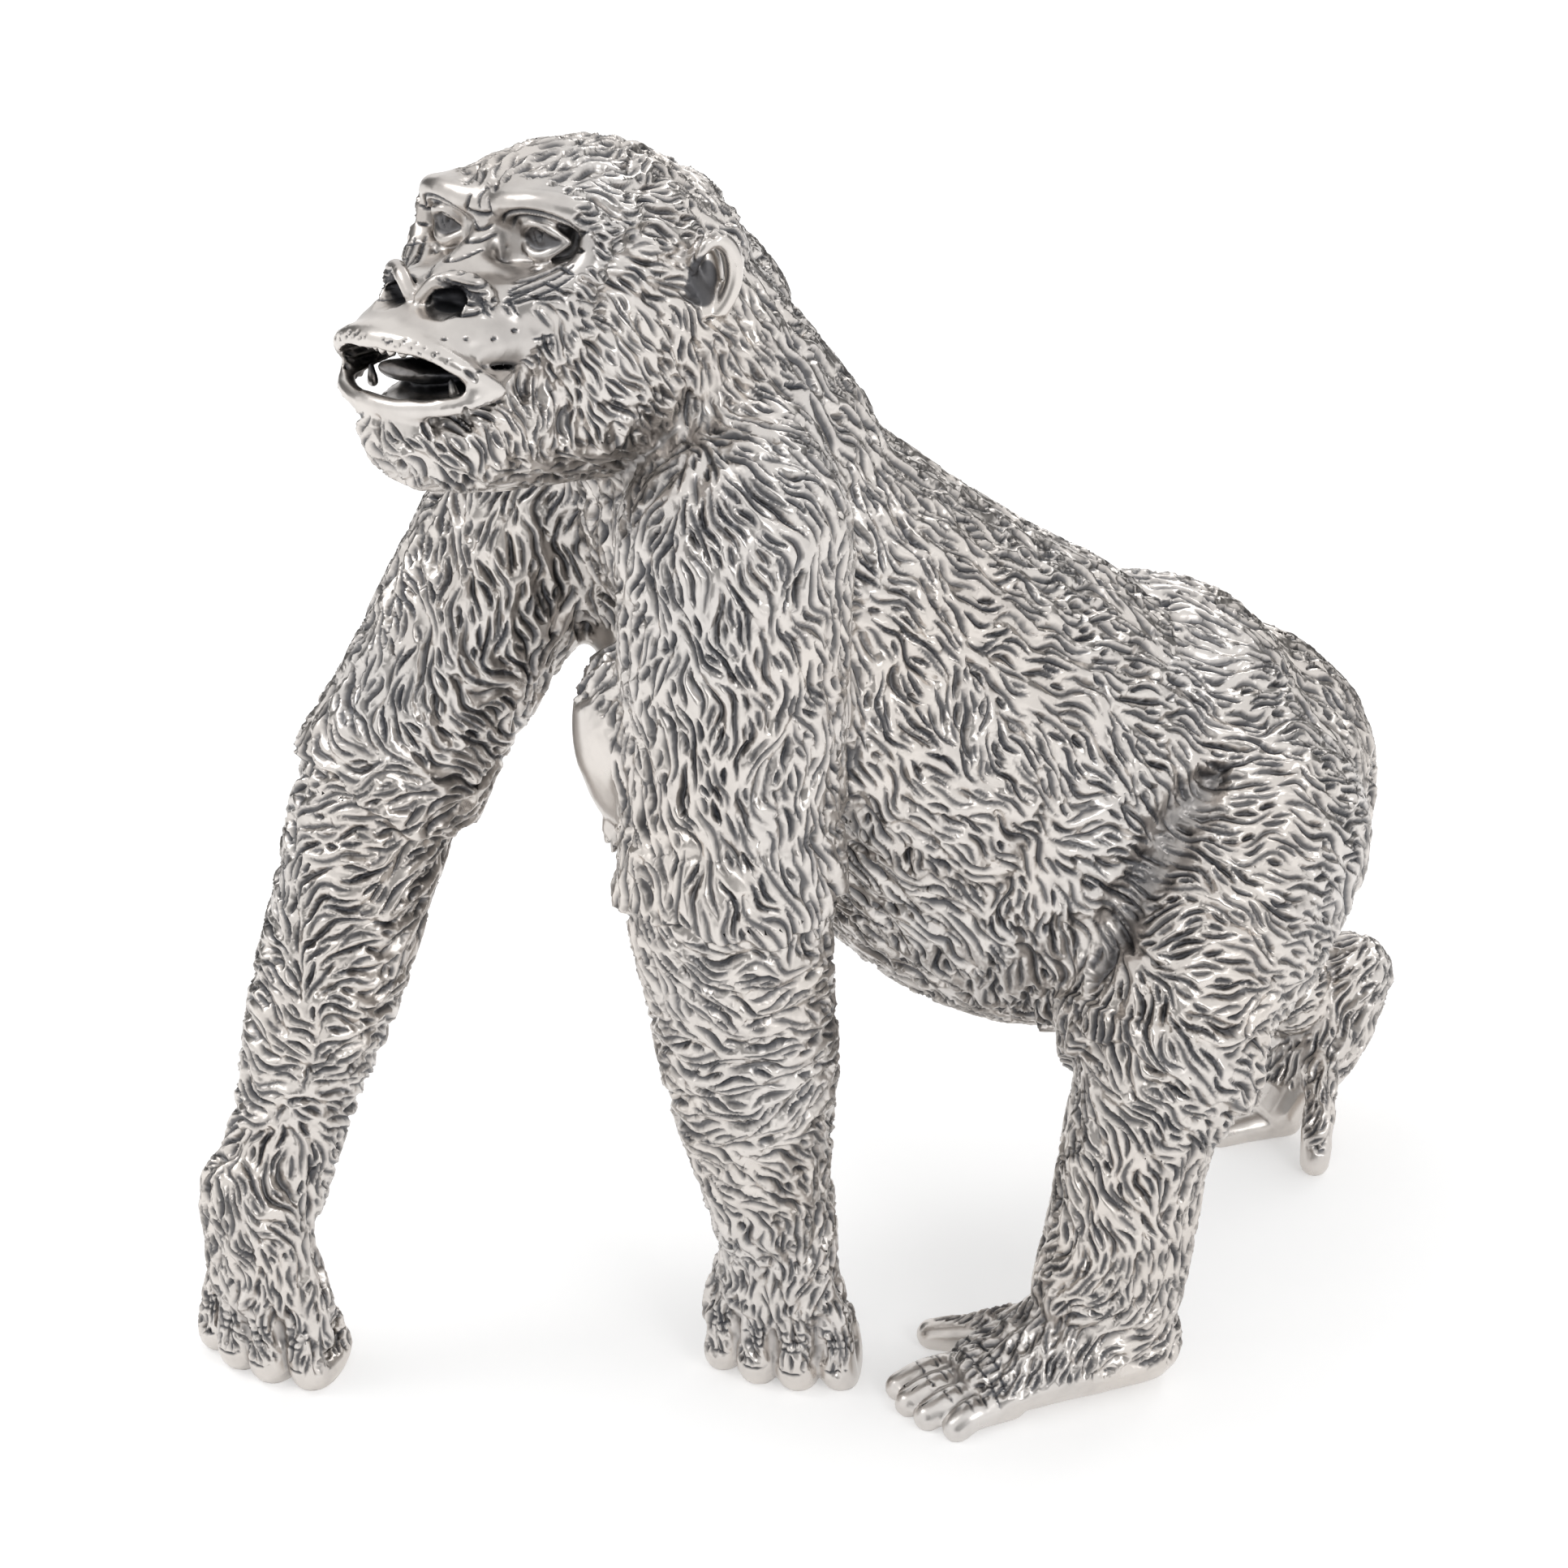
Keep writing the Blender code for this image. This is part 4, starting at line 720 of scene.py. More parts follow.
# skin left smooth: the face, the knuckles, the toes, the ears and the breasts
def smoothSkin(joints):
    head = frameAt(joints["brow"], cast.headTurn, cast.headTilt)
    zones = []
    for centre, radii in (((0, -7, -6.6), (8.6, 9, 4.8)), ((0, -11.8, -11.8), (7.8, 5.0, 1.1)),
                          ((0, -7, -9.8), (9.0, 6, 2.7)), ((0, -8, -9), (6, 9, 3)),
                          ((5.2, 0.6, -2.8), (4.8, 4.8, 4.2)), ((-5.2, 0.6, -2.8), (4.8, 4.8, 4.2)),
                          ((0, -1, -1), (5, 4, 3.2)),
                          ((5.2, 0.4, 1.2), (5.0, 2.8, 1.7)), ((-5.2, 0.4, 1.2), (5.0, 2.8, 1.7)),
                          ((11.3, 14.2, -7.4), (2.2, 2.6, 3.6)), ((-11.3, 14.2, -7.4), (2.2, 2.6, 3.6))):
        zones.append((head(np.array(centre))[0], np.array(radii)))
    for side in (1, -1):
        setBack = 0 if side > 0 else cast.breastStagger
        breast = (side*cast.chestRadius*0.45, joints["trunk"][0.0]-13.6+setBack, cast.shoulderHeight-22)
        zones.append((np.array(breast), np.array((4.6, 5, 7.4))))
    for name in ("left_hand", "right_hand"):
        zones.append((np.array(joints[name]), np.array((9.5, 9.5, 3.6))))
    x, y, _ = joints["left_ankle"]
    zones.append((np.array((x-3, y-cast.footLength-5, 1)), np.array((12, 6, 5))))
    zones.append((np.array((x, y-6, -4)), np.array((24, 30, 8.4))))
    x, y, _ = joints["right_ankle"]
    zones.append((np.array((x, cast.rearFootSet+4, 2)), np.array((13, 12, 5))))
    return zones


def pressTeeth(clay, put):
    for place in (-3.3, -2.2, -1.1, 0.0, 1.1, 2.2, 3.3):
        clay.ball((place, -11.6+place*place*0.11, -7.8), (0.45, 0.42, 0.6), put=put)
    for side in (-1, 1):
        for row, level in ((1, -8.0), (-1, -10.9)):
            clay.tube([(side*4.6, -9.8, level+row*0.6, 0.5), (side*4.5, -9.9, level-row*0.7, 0.26)],
                      segments=8, put=put)


def pressFigure():
    joints = stance()
    head = frameAt(joints["brow"], cast.headTurn, cast.headTilt)
    clay = Clay()
    pressTrunk(clay, joints)
    pressLimbs(clay, joints)
    body = blend(clay.toObject("body"), cast.bodyGrain, 12)
    rounding = body.modifiers.new("Round", "SUBSURF")
    rounding.levels = 1
    clay = Clay()
    pressHead(clay, head)
    skull = blend(clay.toObject("skull"), cast.bodyGrain*0.5, 12)
    hollowFace(skull, joints)
    clay = Clay()
    pressFace(clay, head)
    pressTeeth(clay, head)
    pressEars(clay, head)
    pressLeftFoot(clay, joints)
    pressRightFoot(clay, joints)
    pressHand(clay, joints["left_hand"], cast.leftHandTurn, -1)
    pressHand(clay, joints["right_hand"], cast.rightHandTurn, 1)
    for side in (1, -1):
        setBack = 0 if side > 0 else cast.breastStagger
        x = side*(cast.chestRadius*0.42+0.6)
        y = joints["trunk"][0.0]-13.6+setBack
        z = cast.shoulderHeight-16.5-cast.breastDrop
        clay.tube([(x, y, z, cast.nippleRadius), (x, y-0.3, z-cast.breastRadius*0.75, cast.nippleRadius)],
                  segments=10)
    details = clay.toObject("details")
    body.data = evaluated(body)
    body.modifiers.clear()
    return join([body, skull, details]), joints


# a line cut into the skin where spots fall on it along a way, thinner towards its ends
def cutLine(tree, spots, way, half):
    way = Vector(way).normalized()
    path = [tree.ray_cast(Vector(spot)-way*30, way)[0] for spot in spots]
    path = [spot for spot in path if spot is not None]
    share = (np.arange(len(path))+0.8)/(len(path)+0.6)
    return np.array(path).reshape(-1, 3), half*np.sin(math.pi*share)**0.4, 1.0


# wrinkles of the fingers and toes
def limbLines(joints, tree):
    found = []
    for name, turn in (("left_hand", cast.leftHandTurn), ("right_hand", cast.rightHandTurn)):
        put = frameAt(joints[name], turn)
        inward = put(np.array((0, 1, 0)))[0]-put(np.array((0, 0, 0)))[0]
        for row in (-1.5, -0.5, 0.5, 1.5):
            middle = row*cast.fingerPitch*1.15
            for level, half in ((2.9, 0.2), (5.2, 0.2), (6.0, 0.24), (6.8, 0.2)):
                spots = [put(np.array((middle+x, 0, level+0.15*x*x)))[0] for x in np.linspace(-1.3, 1.3, 6)]
                found.append(cutLine(tree, spots, inward, half))
    x, y, _ = joints["left_ankle"]
    front = y-cast.footLength
    for i in range(4):
        reach = cast.toeLength*(0.62, 0.86, 0.95, 0.9)[i]
        middle = x+cast.footWidth*0.22-i*cast.toePitch+(i-1.4)*-0.2
        for share in (-0.1, 0.12, 0.36, 0.46, 0.7):
            spots = [(middle+across, front+1-reach*share+0.12*across*across, 10)
                     for across in np.linspace(-1.1, 1.1, 6)]
            found.append(cutLine(tree, spots, (0, 0, -1), 0.2))
    return [line for line in found if len(line[0]) > 2]


# wrinkles, folds and pits of the face, cut straight back into it from the front
def faceLines(joints, tree):
    put = frameAt(joints["brow"], cast.headTurn, cast.headTilt)
    back = put(np.array((0, 1, 0)))[0]-put(np.array((0, 0, 0)))[0]
    found = []

    def line(rows, half):
        spots = [put(np.array((x, 0, z)))[0] for x, z in smoothPath(rows, 6)]
        found.append(cutLine(tree, spots, back, half))

    def arc(centre, radii, start, end, half):
        line([(centre[0]+radii[0]*math.cos(math.radians(a)), centre[1]+radii[1]*math.sin(math.radians(a)))
              for a in np.linspace(start, end, 7)], half)

    for side in (-1, 1):
        eye = (side*5.1, -1.5)
        for ring, wide in ((1.0, 0.38), (1.28, 0.3), (1.6, 0.3), (1.95, 0.28)):
            arc(eye, (side*2.7*ring, 1.95*ring), -160+ring*8, -14-ring*10, wide)
        for ring, wide in ((1.0, 0.38), (1.32, 0.3)):
            arc(eye, (side*2.7*ring, 1.9*ring), 16, 160, wide)
        arc((eye[0]+0.45, eye[1]+0.3), (0.8, 0.8), 0, 340, 0.22)
        arc((eye[0]+0.45, eye[1]+0.3), (0.15, 0.15), 0, 300, 0.32)
        for drop, tilt in ((-1.2, 0.5), (-2.2, 0.1), (-3.2, -0.4), (-4.0, -0.9)):
            line([(side*7.6, drop), (side*8.5, drop+tilt*0.4), (side*9.3, drop+tilt)], 0.26)
        for drop, slant in ((-3.0, 1.4), (-3.8, 1.5), (-4.6, 1.3)):
            line([(side*5.6, drop-0.7), (side*6.6, drop-0.1), (side*7.9, drop+slant*0.5)], 0.24)
        for shift in (0, 0.75, 1.5):
            line([(side*(1.9+shift*0.6), -2.2-shift*0.3), (side*(3.1+shift*0.7), -3.4-shift*0.2),
                  (side*(5.2+shift*0.5), -4.4-shift*0.2), (side*(6.2+shift*0.4), -6.0)], 0.34-shift*0.04)
        line([(side*1.0, 1.6), (side*1.2, 1.0), (side*1.5, 0.3)], 0.26)
        for drop in (-8.3, -9.0):
            line([(side*7.4, drop), (side*8.3, drop+0.2)], 0.22)
    for drop, wide in ((0.3, 1.5), (-0.7, 1.3), (-1.5, 1.5), (-2.4, 1.3), (-3.2, 1.1)):
        line([(-wide, drop+0.25), (-wide*0.4, drop-0.1), (wide*0.4, drop-0.1), (wide, drop+0.25)], 0.3)
    line([(0.1, 2.2), (-0.1, 1.4), (0.1, 0.6)], 0.18)
    golden = 0.618
    for i in range(58):
        across = (i*golden) % 1*2-1
        down = (i*golden*golden*1.7) % 1
        x = across*7.0
        z = -6.5-abs(across)**1.6*1.9+down*1.7*abs(across)
        if abs(x) > 1.0:
            line([(x, z), (x+0.05, z)], 0.3)
    return found


# the deep fold between the belly and the left thigh
def groin(joints, tree):
    hip = np.array(joints["left_hip"])
    rows = [hip+(6, -6, 10), hip+(7, -9, 8), hip+(8, -13, 4), hip+(9, -17, -2), hip+(9, -20, -7)]
    path = np.array([tree.find_nearest(Vector(spot))[0] for spot in smoothPath(rows, 5)])
    share = (np.arange(len(path))+0.6)/(len(path)+0.2)
    return path, carve.creaseWidth*np.sin(math.pi*share)**0.5, 1.0


# how far the skin stands up at the cuffs of hair on the elbows and knees
def raised(points, joints):
    lift = np.zeros(len(points))
    for side in ("left", "right"):
        shoulder, elbow, hip, knee = (np.array(joints[side+"_"+n])
                                      for n in ("shoulder", "elbow", "hip", "knee"))
        for end, begin, reach in ((elbow+(0, 0, 1.5), shoulder, 11), (knee+(0, 0, -3), hip, 12)):
            way = (end-begin)/np.linalg.norm(end-begin)
            off = points-end
            beyond = off @ way
            angle = np.arctan2(off[:, 0], off[:, 1])
            beyond += 0.8*np.sin(angle*3)+0.35*np.sin(angle*11)
            shape = np.where(beyond < 0, np.exp(-(beyond/5)**2), np.exp(-(beyond/0.35)**2))
            lift += shape*(np.linalg.norm(off, axis=1) < reach)
    return lift*carve.cuffHeight


# painted shade: the eyes, the mouth, the nostrils and the bowls of the ears darkened as if in shadow, the
# middle of the face a little, the tongue less; on the eyeballs it is partly their patina
def paintedShadeZones(points, joints):
    local = (points-np.array(joints["brow"])) @ turning(cast.headTurn, cast.headTilt)
    eye, bowl, gape = cast.eyeRadius*1.17, cast.earHeight*0.34, cast.mouthGape*0.75
    patinaAndShade = np.zeros(len(points))

    def spread(centre, radii):
        away = np.sum(((local-centre)/radii)**2, axis=1)
        return np.clip((1.1-away)*5, 0, 1)

    for side in (-1, 1):
        for centre, radii, most in (((side*3, -3, -3), (9, 9, 8), 0.12),
                                    ((side*cast.eyeSpacing/2, 2.1, -1.4), (eye, eye, eye), 0.62),
                                    ((side*2.6, -7.0, -4.5), (1.8, 1.9, 1.1), 0.85),
                                    ((side*11.2, 12.5, -7.3), (1.3, 1.8, bowl), 0.75),
                                    ((0, -6.0, -9.8), (cast.mouthWidth*0.42, 6.3, gape), 0.8)):
            patinaAndShade = np.maximum(patinaAndShade, most*spread(centre, radii))
    return patinaAndShade*(1-0.55*spread((-0.7, -9.0, -10.0), (2.7, 3.6, 1.3)))


# how much of the sky each point of a coarse skin sees, from 0 to 1
def openness(mesh, rays):
    points, normals = readPoints(mesh)
    tree = BVHTree.FromPolygons([tuple(p) for p in points], [tuple(p.vertices) for p in mesh.polygons])
    golden = math.pi*(3-math.sqrt(5))
    heights = (np.arange(rays)+0.5)/rays
    fan = np.column_stack([np.cos(np.arange(rays)*golden)*np.sqrt(1-heights**2),
                           np.sin(np.arange(rays)*golden)*np.sqrt(1-heights**2), heights])
    seen = np.empty(len(points))
    for index, (point, normal) in enumerate(zip(points, normals)):
        across = np.cross(normal, (0.3, 0.5, 0.8))
        across /= np.linalg.norm(across)
        ways = fan @ np.array([across, np.cross(normal, across), normal])
        start = Vector(point+normal*0.25)
        free = sum(1 for way in ways if tree.ray_cast(start, Vector(way), 26)[0] is None)
        seen[index] = free/rays
    return points, seen


class Carver:
    def __init__(self):
        self.clay, self.joints = pressFigure()
        guide = placed("guide", self.clay.data.copy())
        blend(guide, carve.guideGrain, 2)
        tree = BVHTree.FromPolygons([Vector(v.co)/mm for v in guide.data.vertices],
                                    [tuple(p.vertices) for p in guide.data.polygons])
        pelt = Pelt(guide.data, hairGuides(self.joints), smoothSkin(self.joints))
        lengths = (carve.headLength, carve.handLength, carve.hairLength)
        self.hairs = pelt.strokes(pelt.gaps, lengths, 7, carve.sway)
        lockLengths = (carve.lockLength, carve.lockLength, carve.lockLength)
        self.locks = pelt.strokes(pelt.gaps*carve.lockGap/carve.hairGap, lockLengths, 11, carve.sway*0.6)
        self.lines = faceLines(self.joints, tree)+limbLines(self.joints, tree)
        self.fold = groin(self.joints, tree)
        print("strokes:", len(self.hairs), "locks:", len(self.locks), "lines:", len(self.lines))
        self.sky = openness(guide.data, 14)
        self.skyFind = treeOf(self.sky[0]).find
        bpy.data.objects.remove(guide)
        print("sky seen")

    # the skin at one fineness on one side of the neck: its points, normals, faces and colours
    def skin(self, grain, wanted):
        thing = placed("skin", self.clay.data.copy())
        blend(thing, grain, 3)
        points, normals = readPoints(thing.data)
        faces = facesOf(thing.data)
        flat = thing.modifiers.new("Flatten", "SMOOTH")
        flat.factor = 0.5
        flat.iterations = 50
        level, _ = readPoints(evaluated(thing))
        hollow = np.sum((level-points)*normals, axis=1)
        bpy.data.objects.remove(thing)
        faces = faces[wanted(points)[faces].all(axis=1)]
        used, flat = np.unique(faces, return_inverse=True)
        points, normals, hollow = points[used], normals[used], hollow[used]
        faces = flat.reshape(faces.shape)
        away, wide, luck = nearStrokes(points, self.hairs)
        groove = 0.5+0.5*np.cos(np.pi*np.minimum(away, 1))
        full = wide/(carve.hairGap*carve.strokeWidth)
        depth = groove*carve.hairDepth*full*(0.75+0.5*luck)
        depth -= carve.strokeRidge*np.exp(-((away-1.1)/0.3)**2)*full
        patinaAndShade = groove*np.minimum(1, full*1.3)*(0.6+0.4*luck)
        away, _, _ = nearStrokes(points, self.locks)
        depth += (0.5+0.5*np.cos(np.pi*np.minimum(away, 1)))*carve.lockDepth
        away, wide, _ = nearStrokes(points, self.lines)
        line = 0.5+0.5*np.cos(np.pi*np.minimum(away, 1))
        depth += line*carve.lineDepth*np.minimum(1.4, wide/0.2)
        patinaAndShade = np.maximum(patinaAndShade, line)
        # painted shade in the eyes, the mouth, the nostrils and the bowls of the ears
        patinaAndShade = np.maximum(patinaAndShade, paintedShadeZones(points, self.joints))
        away, _, _ = nearStrokes(points, [self.fold])
        fold = 0.5+0.5*np.cos(np.pi*np.minimum(away, 1))
        depth += fold*carve.creaseDepth
        # painted shade in the fold between the belly and the thigh
        patinaAndShade = np.maximum(patinaAndShade, fold**2*0.42)
        # dips that lie under a smoothed skin are darkened by their depth: partly patina, partly painted
        # shade
        start, end = carve.hollow
        patinaAndShade = np.maximum(patinaAndShade, 0.95*np.clip((hollow-start)/(end-start), 0, 1)**0.8)
        depth -= raised(points, self.joints)
        moved = points-normals*depth[:, None]
        moved[:, 2] = np.maximum(moved[:, 2], cast.footPrint)
        # how much sky each point sees, which the silver turns into painted shade
        seen = self.sky[1][np.array([self.skyFind(p)[1] for p in points])]
        # first channel: the patina of the cuts together with painted shade; second: the sky seen, for more
        # painted shade
        colours = np.column_stack([patinaAndShade, seen, np.zeros(len(points)), np.ones(len(points))])
        print("skin at", grain, "mm:", len(faces)*2, "triangles")
        return skinMesh("skin", moved, faces, colours)


def facesOf(mesh):
    corners = np.empty(len(mesh.loops), np.int32)
    mesh.loops.foreach_get("vertex_index", corners)
    return corners.reshape(len(mesh.polygons), -1)


def skinMesh(name, points, faces, colours, caps=()):
    mesh = bpy.data.meshes.new(name)
    mesh.vertices.add(len(points))
    mesh.vertices.foreach_set("co", (points*mm).astype(np.float32).ravel())
    caps = np.array(caps, np.int32).reshape(-1, 3)
    corners = np.concatenate([faces.ravel(), caps.ravel()]).astype(np.int32)
    mesh.loops.add(len(corners))
    mesh.loops.foreach_set("vertex_index", corners)
    mesh.polygons.add(len(faces)+len(caps))
    width = faces.shape[1]
    starts = np.concatenate([np.arange(len(faces))*width, len(faces)*width+np.arange(len(caps))*3])
    mesh.polygons.foreach_set("loop_start", starts.astype(np.int32))
    mesh.update(calc_edges=True)
    # the carving colours: patina with painted shade, and how much of the sky each point sees
    layer = mesh.color_attributes.new("carving", "FLOAT_COLOR", "POINT")
    layer.data.foreach_set("color", colours.astype(np.float32).ravel())
    return mesh


# fewer triangles, kept where the skin bends most
def thinned(mesh, triangles):
    thing = placed("skin", mesh)
    thin = thing.modifiers.new("Thin", "DECIMATE")
    thin.ratio = min(1.0, triangles/(len(mesh.polygons)*2))
    thin.use_collapse_triangulate = True
    result = evaluated(thing)
    bpy.data.objects.remove(thing)
    return result


def readSkin(mesh):
    points, normals = readPoints(mesh)
    colours = np.empty(len(points)*4, np.float32)
    mesh.color_attributes["carving"].data.foreach_get("color", colours)
    return points, normals, facesOf(mesh), colours.reshape(-1, 4)


# triangles that close an open border, wound against it
def capOf(points, ring):
    sides = {(ring[i], ring[(i+1) % len(ring)]) for i in range(len(ring))}
    found = []
    for triangle in geometry.tessellate_polygon([[Vector(points[i]) for i in ring]]):
        a, b, c = (ring[i] for i in triangle)
        found.append((a, b, c))
    along = sum((a, b) in sides or (b, c) in sides or (c, a) in sides for a, b, c in found)
    against = sum((b, a) in sides or (c, b) in sides or (a, c) in sides for a, b, c in found)
    return [(c, b, a) for a, b, c in found] if along > against else found


# the open borders of a skin, each as a ring that meets no point twice
def ringsOf(follow):
    rings = []
    while follow:
        path, places, here = [], {}, next(iter(follow))
        while here in follow or here in places:
            if here in places:
                start = places[here]
                rings.append(path[start:])
                for passed in path[start:]:
                    del places[passed]
                del path[start:]
                continue
            places[here] = len(path)
            path.append(here)
            ahead = follow[here].pop()
            if not follow[here]:
                del follow[here]
            here = ahead
    return rings


# a piece made of some faces of a skin, with caps over its borders
def cappedPiece(name, points, normals, faces, colours, material):
    used, flat = np.unique(faces, return_inverse=True)
    faces = flat.reshape(faces.shape)
    points, normals, colours = points[used], normals[used], colours[used]
    starts, ends = faces.ravel(), np.roll(faces, -1, axis=1).ravel()
    codes = starts.astype(np.int64)*len(points)+ends
    back = ends.astype(np.int64)*len(points)+starts
    border = ~np.isin(codes, back)
    follow = {}
    for a, b in zip(starts[border], ends[border]):
        follow.setdefault(int(a), []).append(int(b))
    rings = ringsOf(follow)
    caps = [triangle for ring in rings for triangle in capOf(points, ring)]
    mesh = skinMesh(name, points, faces, colours, caps)
    mesh.shade_smooth()
    layer = mesh.attributes.new("custom_normal", "FLOAT_VECTOR", "POINT")
    layer.data.foreach_set("vector", normals.astype(np.float32).ravel())
    mesh.materials.append(material)
    piece = placed(name, mesh)
    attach(piece, "root")
    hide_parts("gorilla")
    print(name, len(faces)*(faces.shape[1]-2)+len(caps), "triangles", len(rings), "borders")
    return piece


# silver that is polished where it stands up and blackened where it is cut, with painted shade in hollows
# and where the skin sees little of the sky
def patinaAndShadeGroup():
    group = bpy.data.node_groups.new("patinaAndPaintedShade", "ShaderNodeTree")
    for name in ("Cut", "Open"):
        group.interface.new_socket(name, in_out="INPUT", socket_type="NodeSocketFloat")
    for name, kind in (("Color", "Color"), ("Roughness", "Float"), ("Height", "Float")):
        group.interface.new_socket(name, in_out="OUTPUT", socket_type="NodeSocket"+kind)
    nodes, links = group.nodes, group.links
    inputs, outputs = nodes.new("NodeGroupInput"), nodes.new("NodeGroupOutput")
    place = nodes.new("ShaderNodeTexCoord")

    def noise(scale, detail):
        node = nodes.new("ShaderNodeTexNoise")
        node.inputs["Scale"].default_value = scale
        node.inputs["Detail"].default_value = detail
        links.new(place.outputs["Object"], node.inputs["Vector"])
        return node.outputs["Fac"]

    def reckon(kind, a, b):
        node = nodes.new("ShaderNodeMath")
        node.operation = kind
        for socket, value in zip(node.inputs, (a, b)):
            if isinstance(value, (int, float)):
                socket.default_value = value
            else:
                links.new(value, socket)
        return node.outputs[0]

    def blendColours(factor, a, b):
        node = nodes.new("ShaderNodeMix")
        node.data_type = "RGBA"
        links.new(factor, node.inputs["Factor"])
        for socket, value in (("A", a), ("B", b)):
            target = [s for s in node.inputs if s.name == socket and s.type == "RGBA"][0]
            if isinstance(value, tuple):
                target.default_value = value
            else:
                links.new(value, target)
        return [s for s in node.outputs if s.type == "RGBA"][0]

    stain = noise(420, 4)
    broad = noise(60, 2)
    grooves = nodes.new("ShaderNodeValToRGB")
    ramp = grooves.color_ramp
    ramp.elements[0].position, ramp.elements[0].color = 0.0, silverLook["ridge"]
    ramp.elements[1].position, ramp.elements[1].color = 1.0, silverLook["floor"]
    for position, colour in ((0.22, silverLook["flank"]), (0.5, silverLook["cut"])):
        ramp.elements.new(position).color = colour
    mottle = reckon("MULTIPLY", reckon("SUBTRACT", stain, 0.5), 0.35)
    links.new(reckon("ADD", inputs.outputs["Cut"], mottle), grooves.inputs[0])
    tint = blendColours(broad, silverLook["warm"], silverLook["cool"])
    tinted = nodes.new("ShaderNodeMix")
    tinted.data_type = "RGBA"
    tinted.blend_type = "MULTIPLY"
    tinted.inputs["Factor"].default_value = 1.0
    rgba = [s for s in tinted.inputs if s.type == "RGBA"]
    links.new(grooves.outputs[0], rgba[0])
    links.new(tint, rgba[1])
    # painted shade: where little of the sky is seen, the colour goes over to the deep colour
    shade = nodes.new("ShaderNodeMapRange")
    shade.inputs["From Min"].default_value, shade.inputs["From Max"].default_value = 0.05, 0.65
    shade.inputs["To Min"].default_value, shade.inputs["To Max"].default_value = 0.85, 0.0
    links.new(inputs.outputs["Open"], shade.inputs["Value"])
    plain = [s for s in tinted.outputs if s.type == "RGBA"][0]
    final = blendColours(shade.outputs[0], plain, silverLook["deep"])
    links.new(final, outputs.inputs["Color"])
    rough = reckon("ADD", silverLook["roughness"], reckon("MULTIPLY", inputs.outputs["Cut"], 0.22))
    links.new(reckon("ADD", rough, reckon("MULTIPLY", stain, 0.1)), outputs.inputs["Roughness"])
    links.new(noise(1500, 3), outputs.inputs["Height"])
    return group


silverLook = {
    "ridge": (0.73, 0.69, 0.65, 1),
    "flank": (0.52, 0.49, 0.465, 1),
    "cut": (0.19, 0.185, 0.185, 1),
    "floor": (0.045, 0.048, 0.058, 1),
    # the colour of the painted shade where the skin sees little of the sky
    "deep": (0.03, 0.031, 0.036, 1),
    "warm": (1.0, 0.965, 0.93, 1),
    "cool": (0.93, 0.96, 1.0, 1),
    "roughness": 0.24,
}


# a new material with its nodes, their links and its shader
def newPaint(name):
    paint = bpy.data.materials.new(name)
    paint.use_nodes = True
    nodes = paint.node_tree.nodes
    return paint, nodes, paint.node_tree.links, nodes["Principled BSDF"]


def castSilver():
    material, nodes, links, shader = newPaint("castSilver")
    shader.inputs["Metallic"].default_value = 1
    # the carving colours hold the patina, the painted shade and the sky seen
    attribute = nodes.new("ShaderNodeAttribute")
    attribute.attribute_name = "carving"
    split = nodes.new("ShaderNodeSeparateColor")
    links.new(attribute.outputs["Color"], split.inputs[0])
    patinaAndPaintedShade = nodes.new("ShaderNodeGroup")
    patinaAndPaintedShade.node_tree = patinaAndShadeGroup()
    for source, target in zip(split.outputs, ("Cut", "Open")):
        links.new(source, patinaAndPaintedShade.inputs[target])
    links.new(patinaAndPaintedShade.outputs["Color"], shader.inputs["Base Color"])
    links.new(patinaAndPaintedShade.outputs["Roughness"], shader.inputs["Roughness"])
    bump = nodes.new("ShaderNodeBump")
    bump.inputs["Strength"].default_value = 0.25
    bump.inputs["Distance"].default_value = 0.00003
    links.new(patinaAndPaintedShade.outputs["Height"], bump.inputs["Height"])
    links.new(bump.outputs[0], shader.inputs["Normal"])
    return material


# where the skin is parted into patches, in millimetres
seams = {
    "neck": (0, 14, -13),          # from the brow, in the turned head
    "neckSlope": (0, -0.54, 0.84),
    "overlap": 0.5,                # of the trunk's skin into the head's
    "tuck": 0.12,                  # how deep it lies there
    "legTop": 26, "legFront": 30, "crotch": 4,
    "armTop": 56, "armBack": 24,
    "chestBack": 26,
    "faceBack": 9,                 # from the brow, in the turned head
}

carver = Carver()
material = castSilver()
low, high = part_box("gorilla")
nape = frameAt(carver.joints["brow"], cast.headTurn, cast.headTilt)(np.array(seams["neck"]))[0]


def aboveNeck(points):
    return (points-nape) @ np.array(seams["neckSlope"])


trunkSkin = carver.skin(carve.bodyGrain, lambda points: aboveNeck(points) < seams["overlap"])
body = thinned(trunkSkin, carve.bodyTriangles)
points, normals, faces, colours = readSkin(body)
middle = (points.min(axis=0)+points.max(axis=0))/2
shift = np.array(((low[0]+high[0])/2/mm-middle[0], (low[1]+high[1])/2/mm-middle[1], -points[:, 2].min()))
print("moved by", shift.round(2))
tucked = points-normals*(np.clip(aboveNeck(points), 0, 1)*seams["tuck"])[:, None]
centres = points[faces].mean(axis=1)
leg = (centres[:, 2] < seams["legTop"]) & (centres[:, 1] > seams["legFront"])
arm = (centres[:, 2] < seams["armTop"]) & (centres[:, 1] < seams["armBack"])
left = centres[:, 0] > np.where(leg, seams["crotch"], 0)
trunk = ~(leg | arm)
chest = trunk & (centres[:, 1] < seams["chestBack"])
back = trunk & ~chest
regions = {"left_leg": leg & left, "right_leg": leg & ~left, "left_arm": arm & left,
           "right_arm": arm & ~left, "chest": chest, "left_back": back & left, "right_back": back & ~left}
for name, chosen in regions.items():
    cappedPiece(name, tucked+shift, normals, faces[chosen], colours, material)

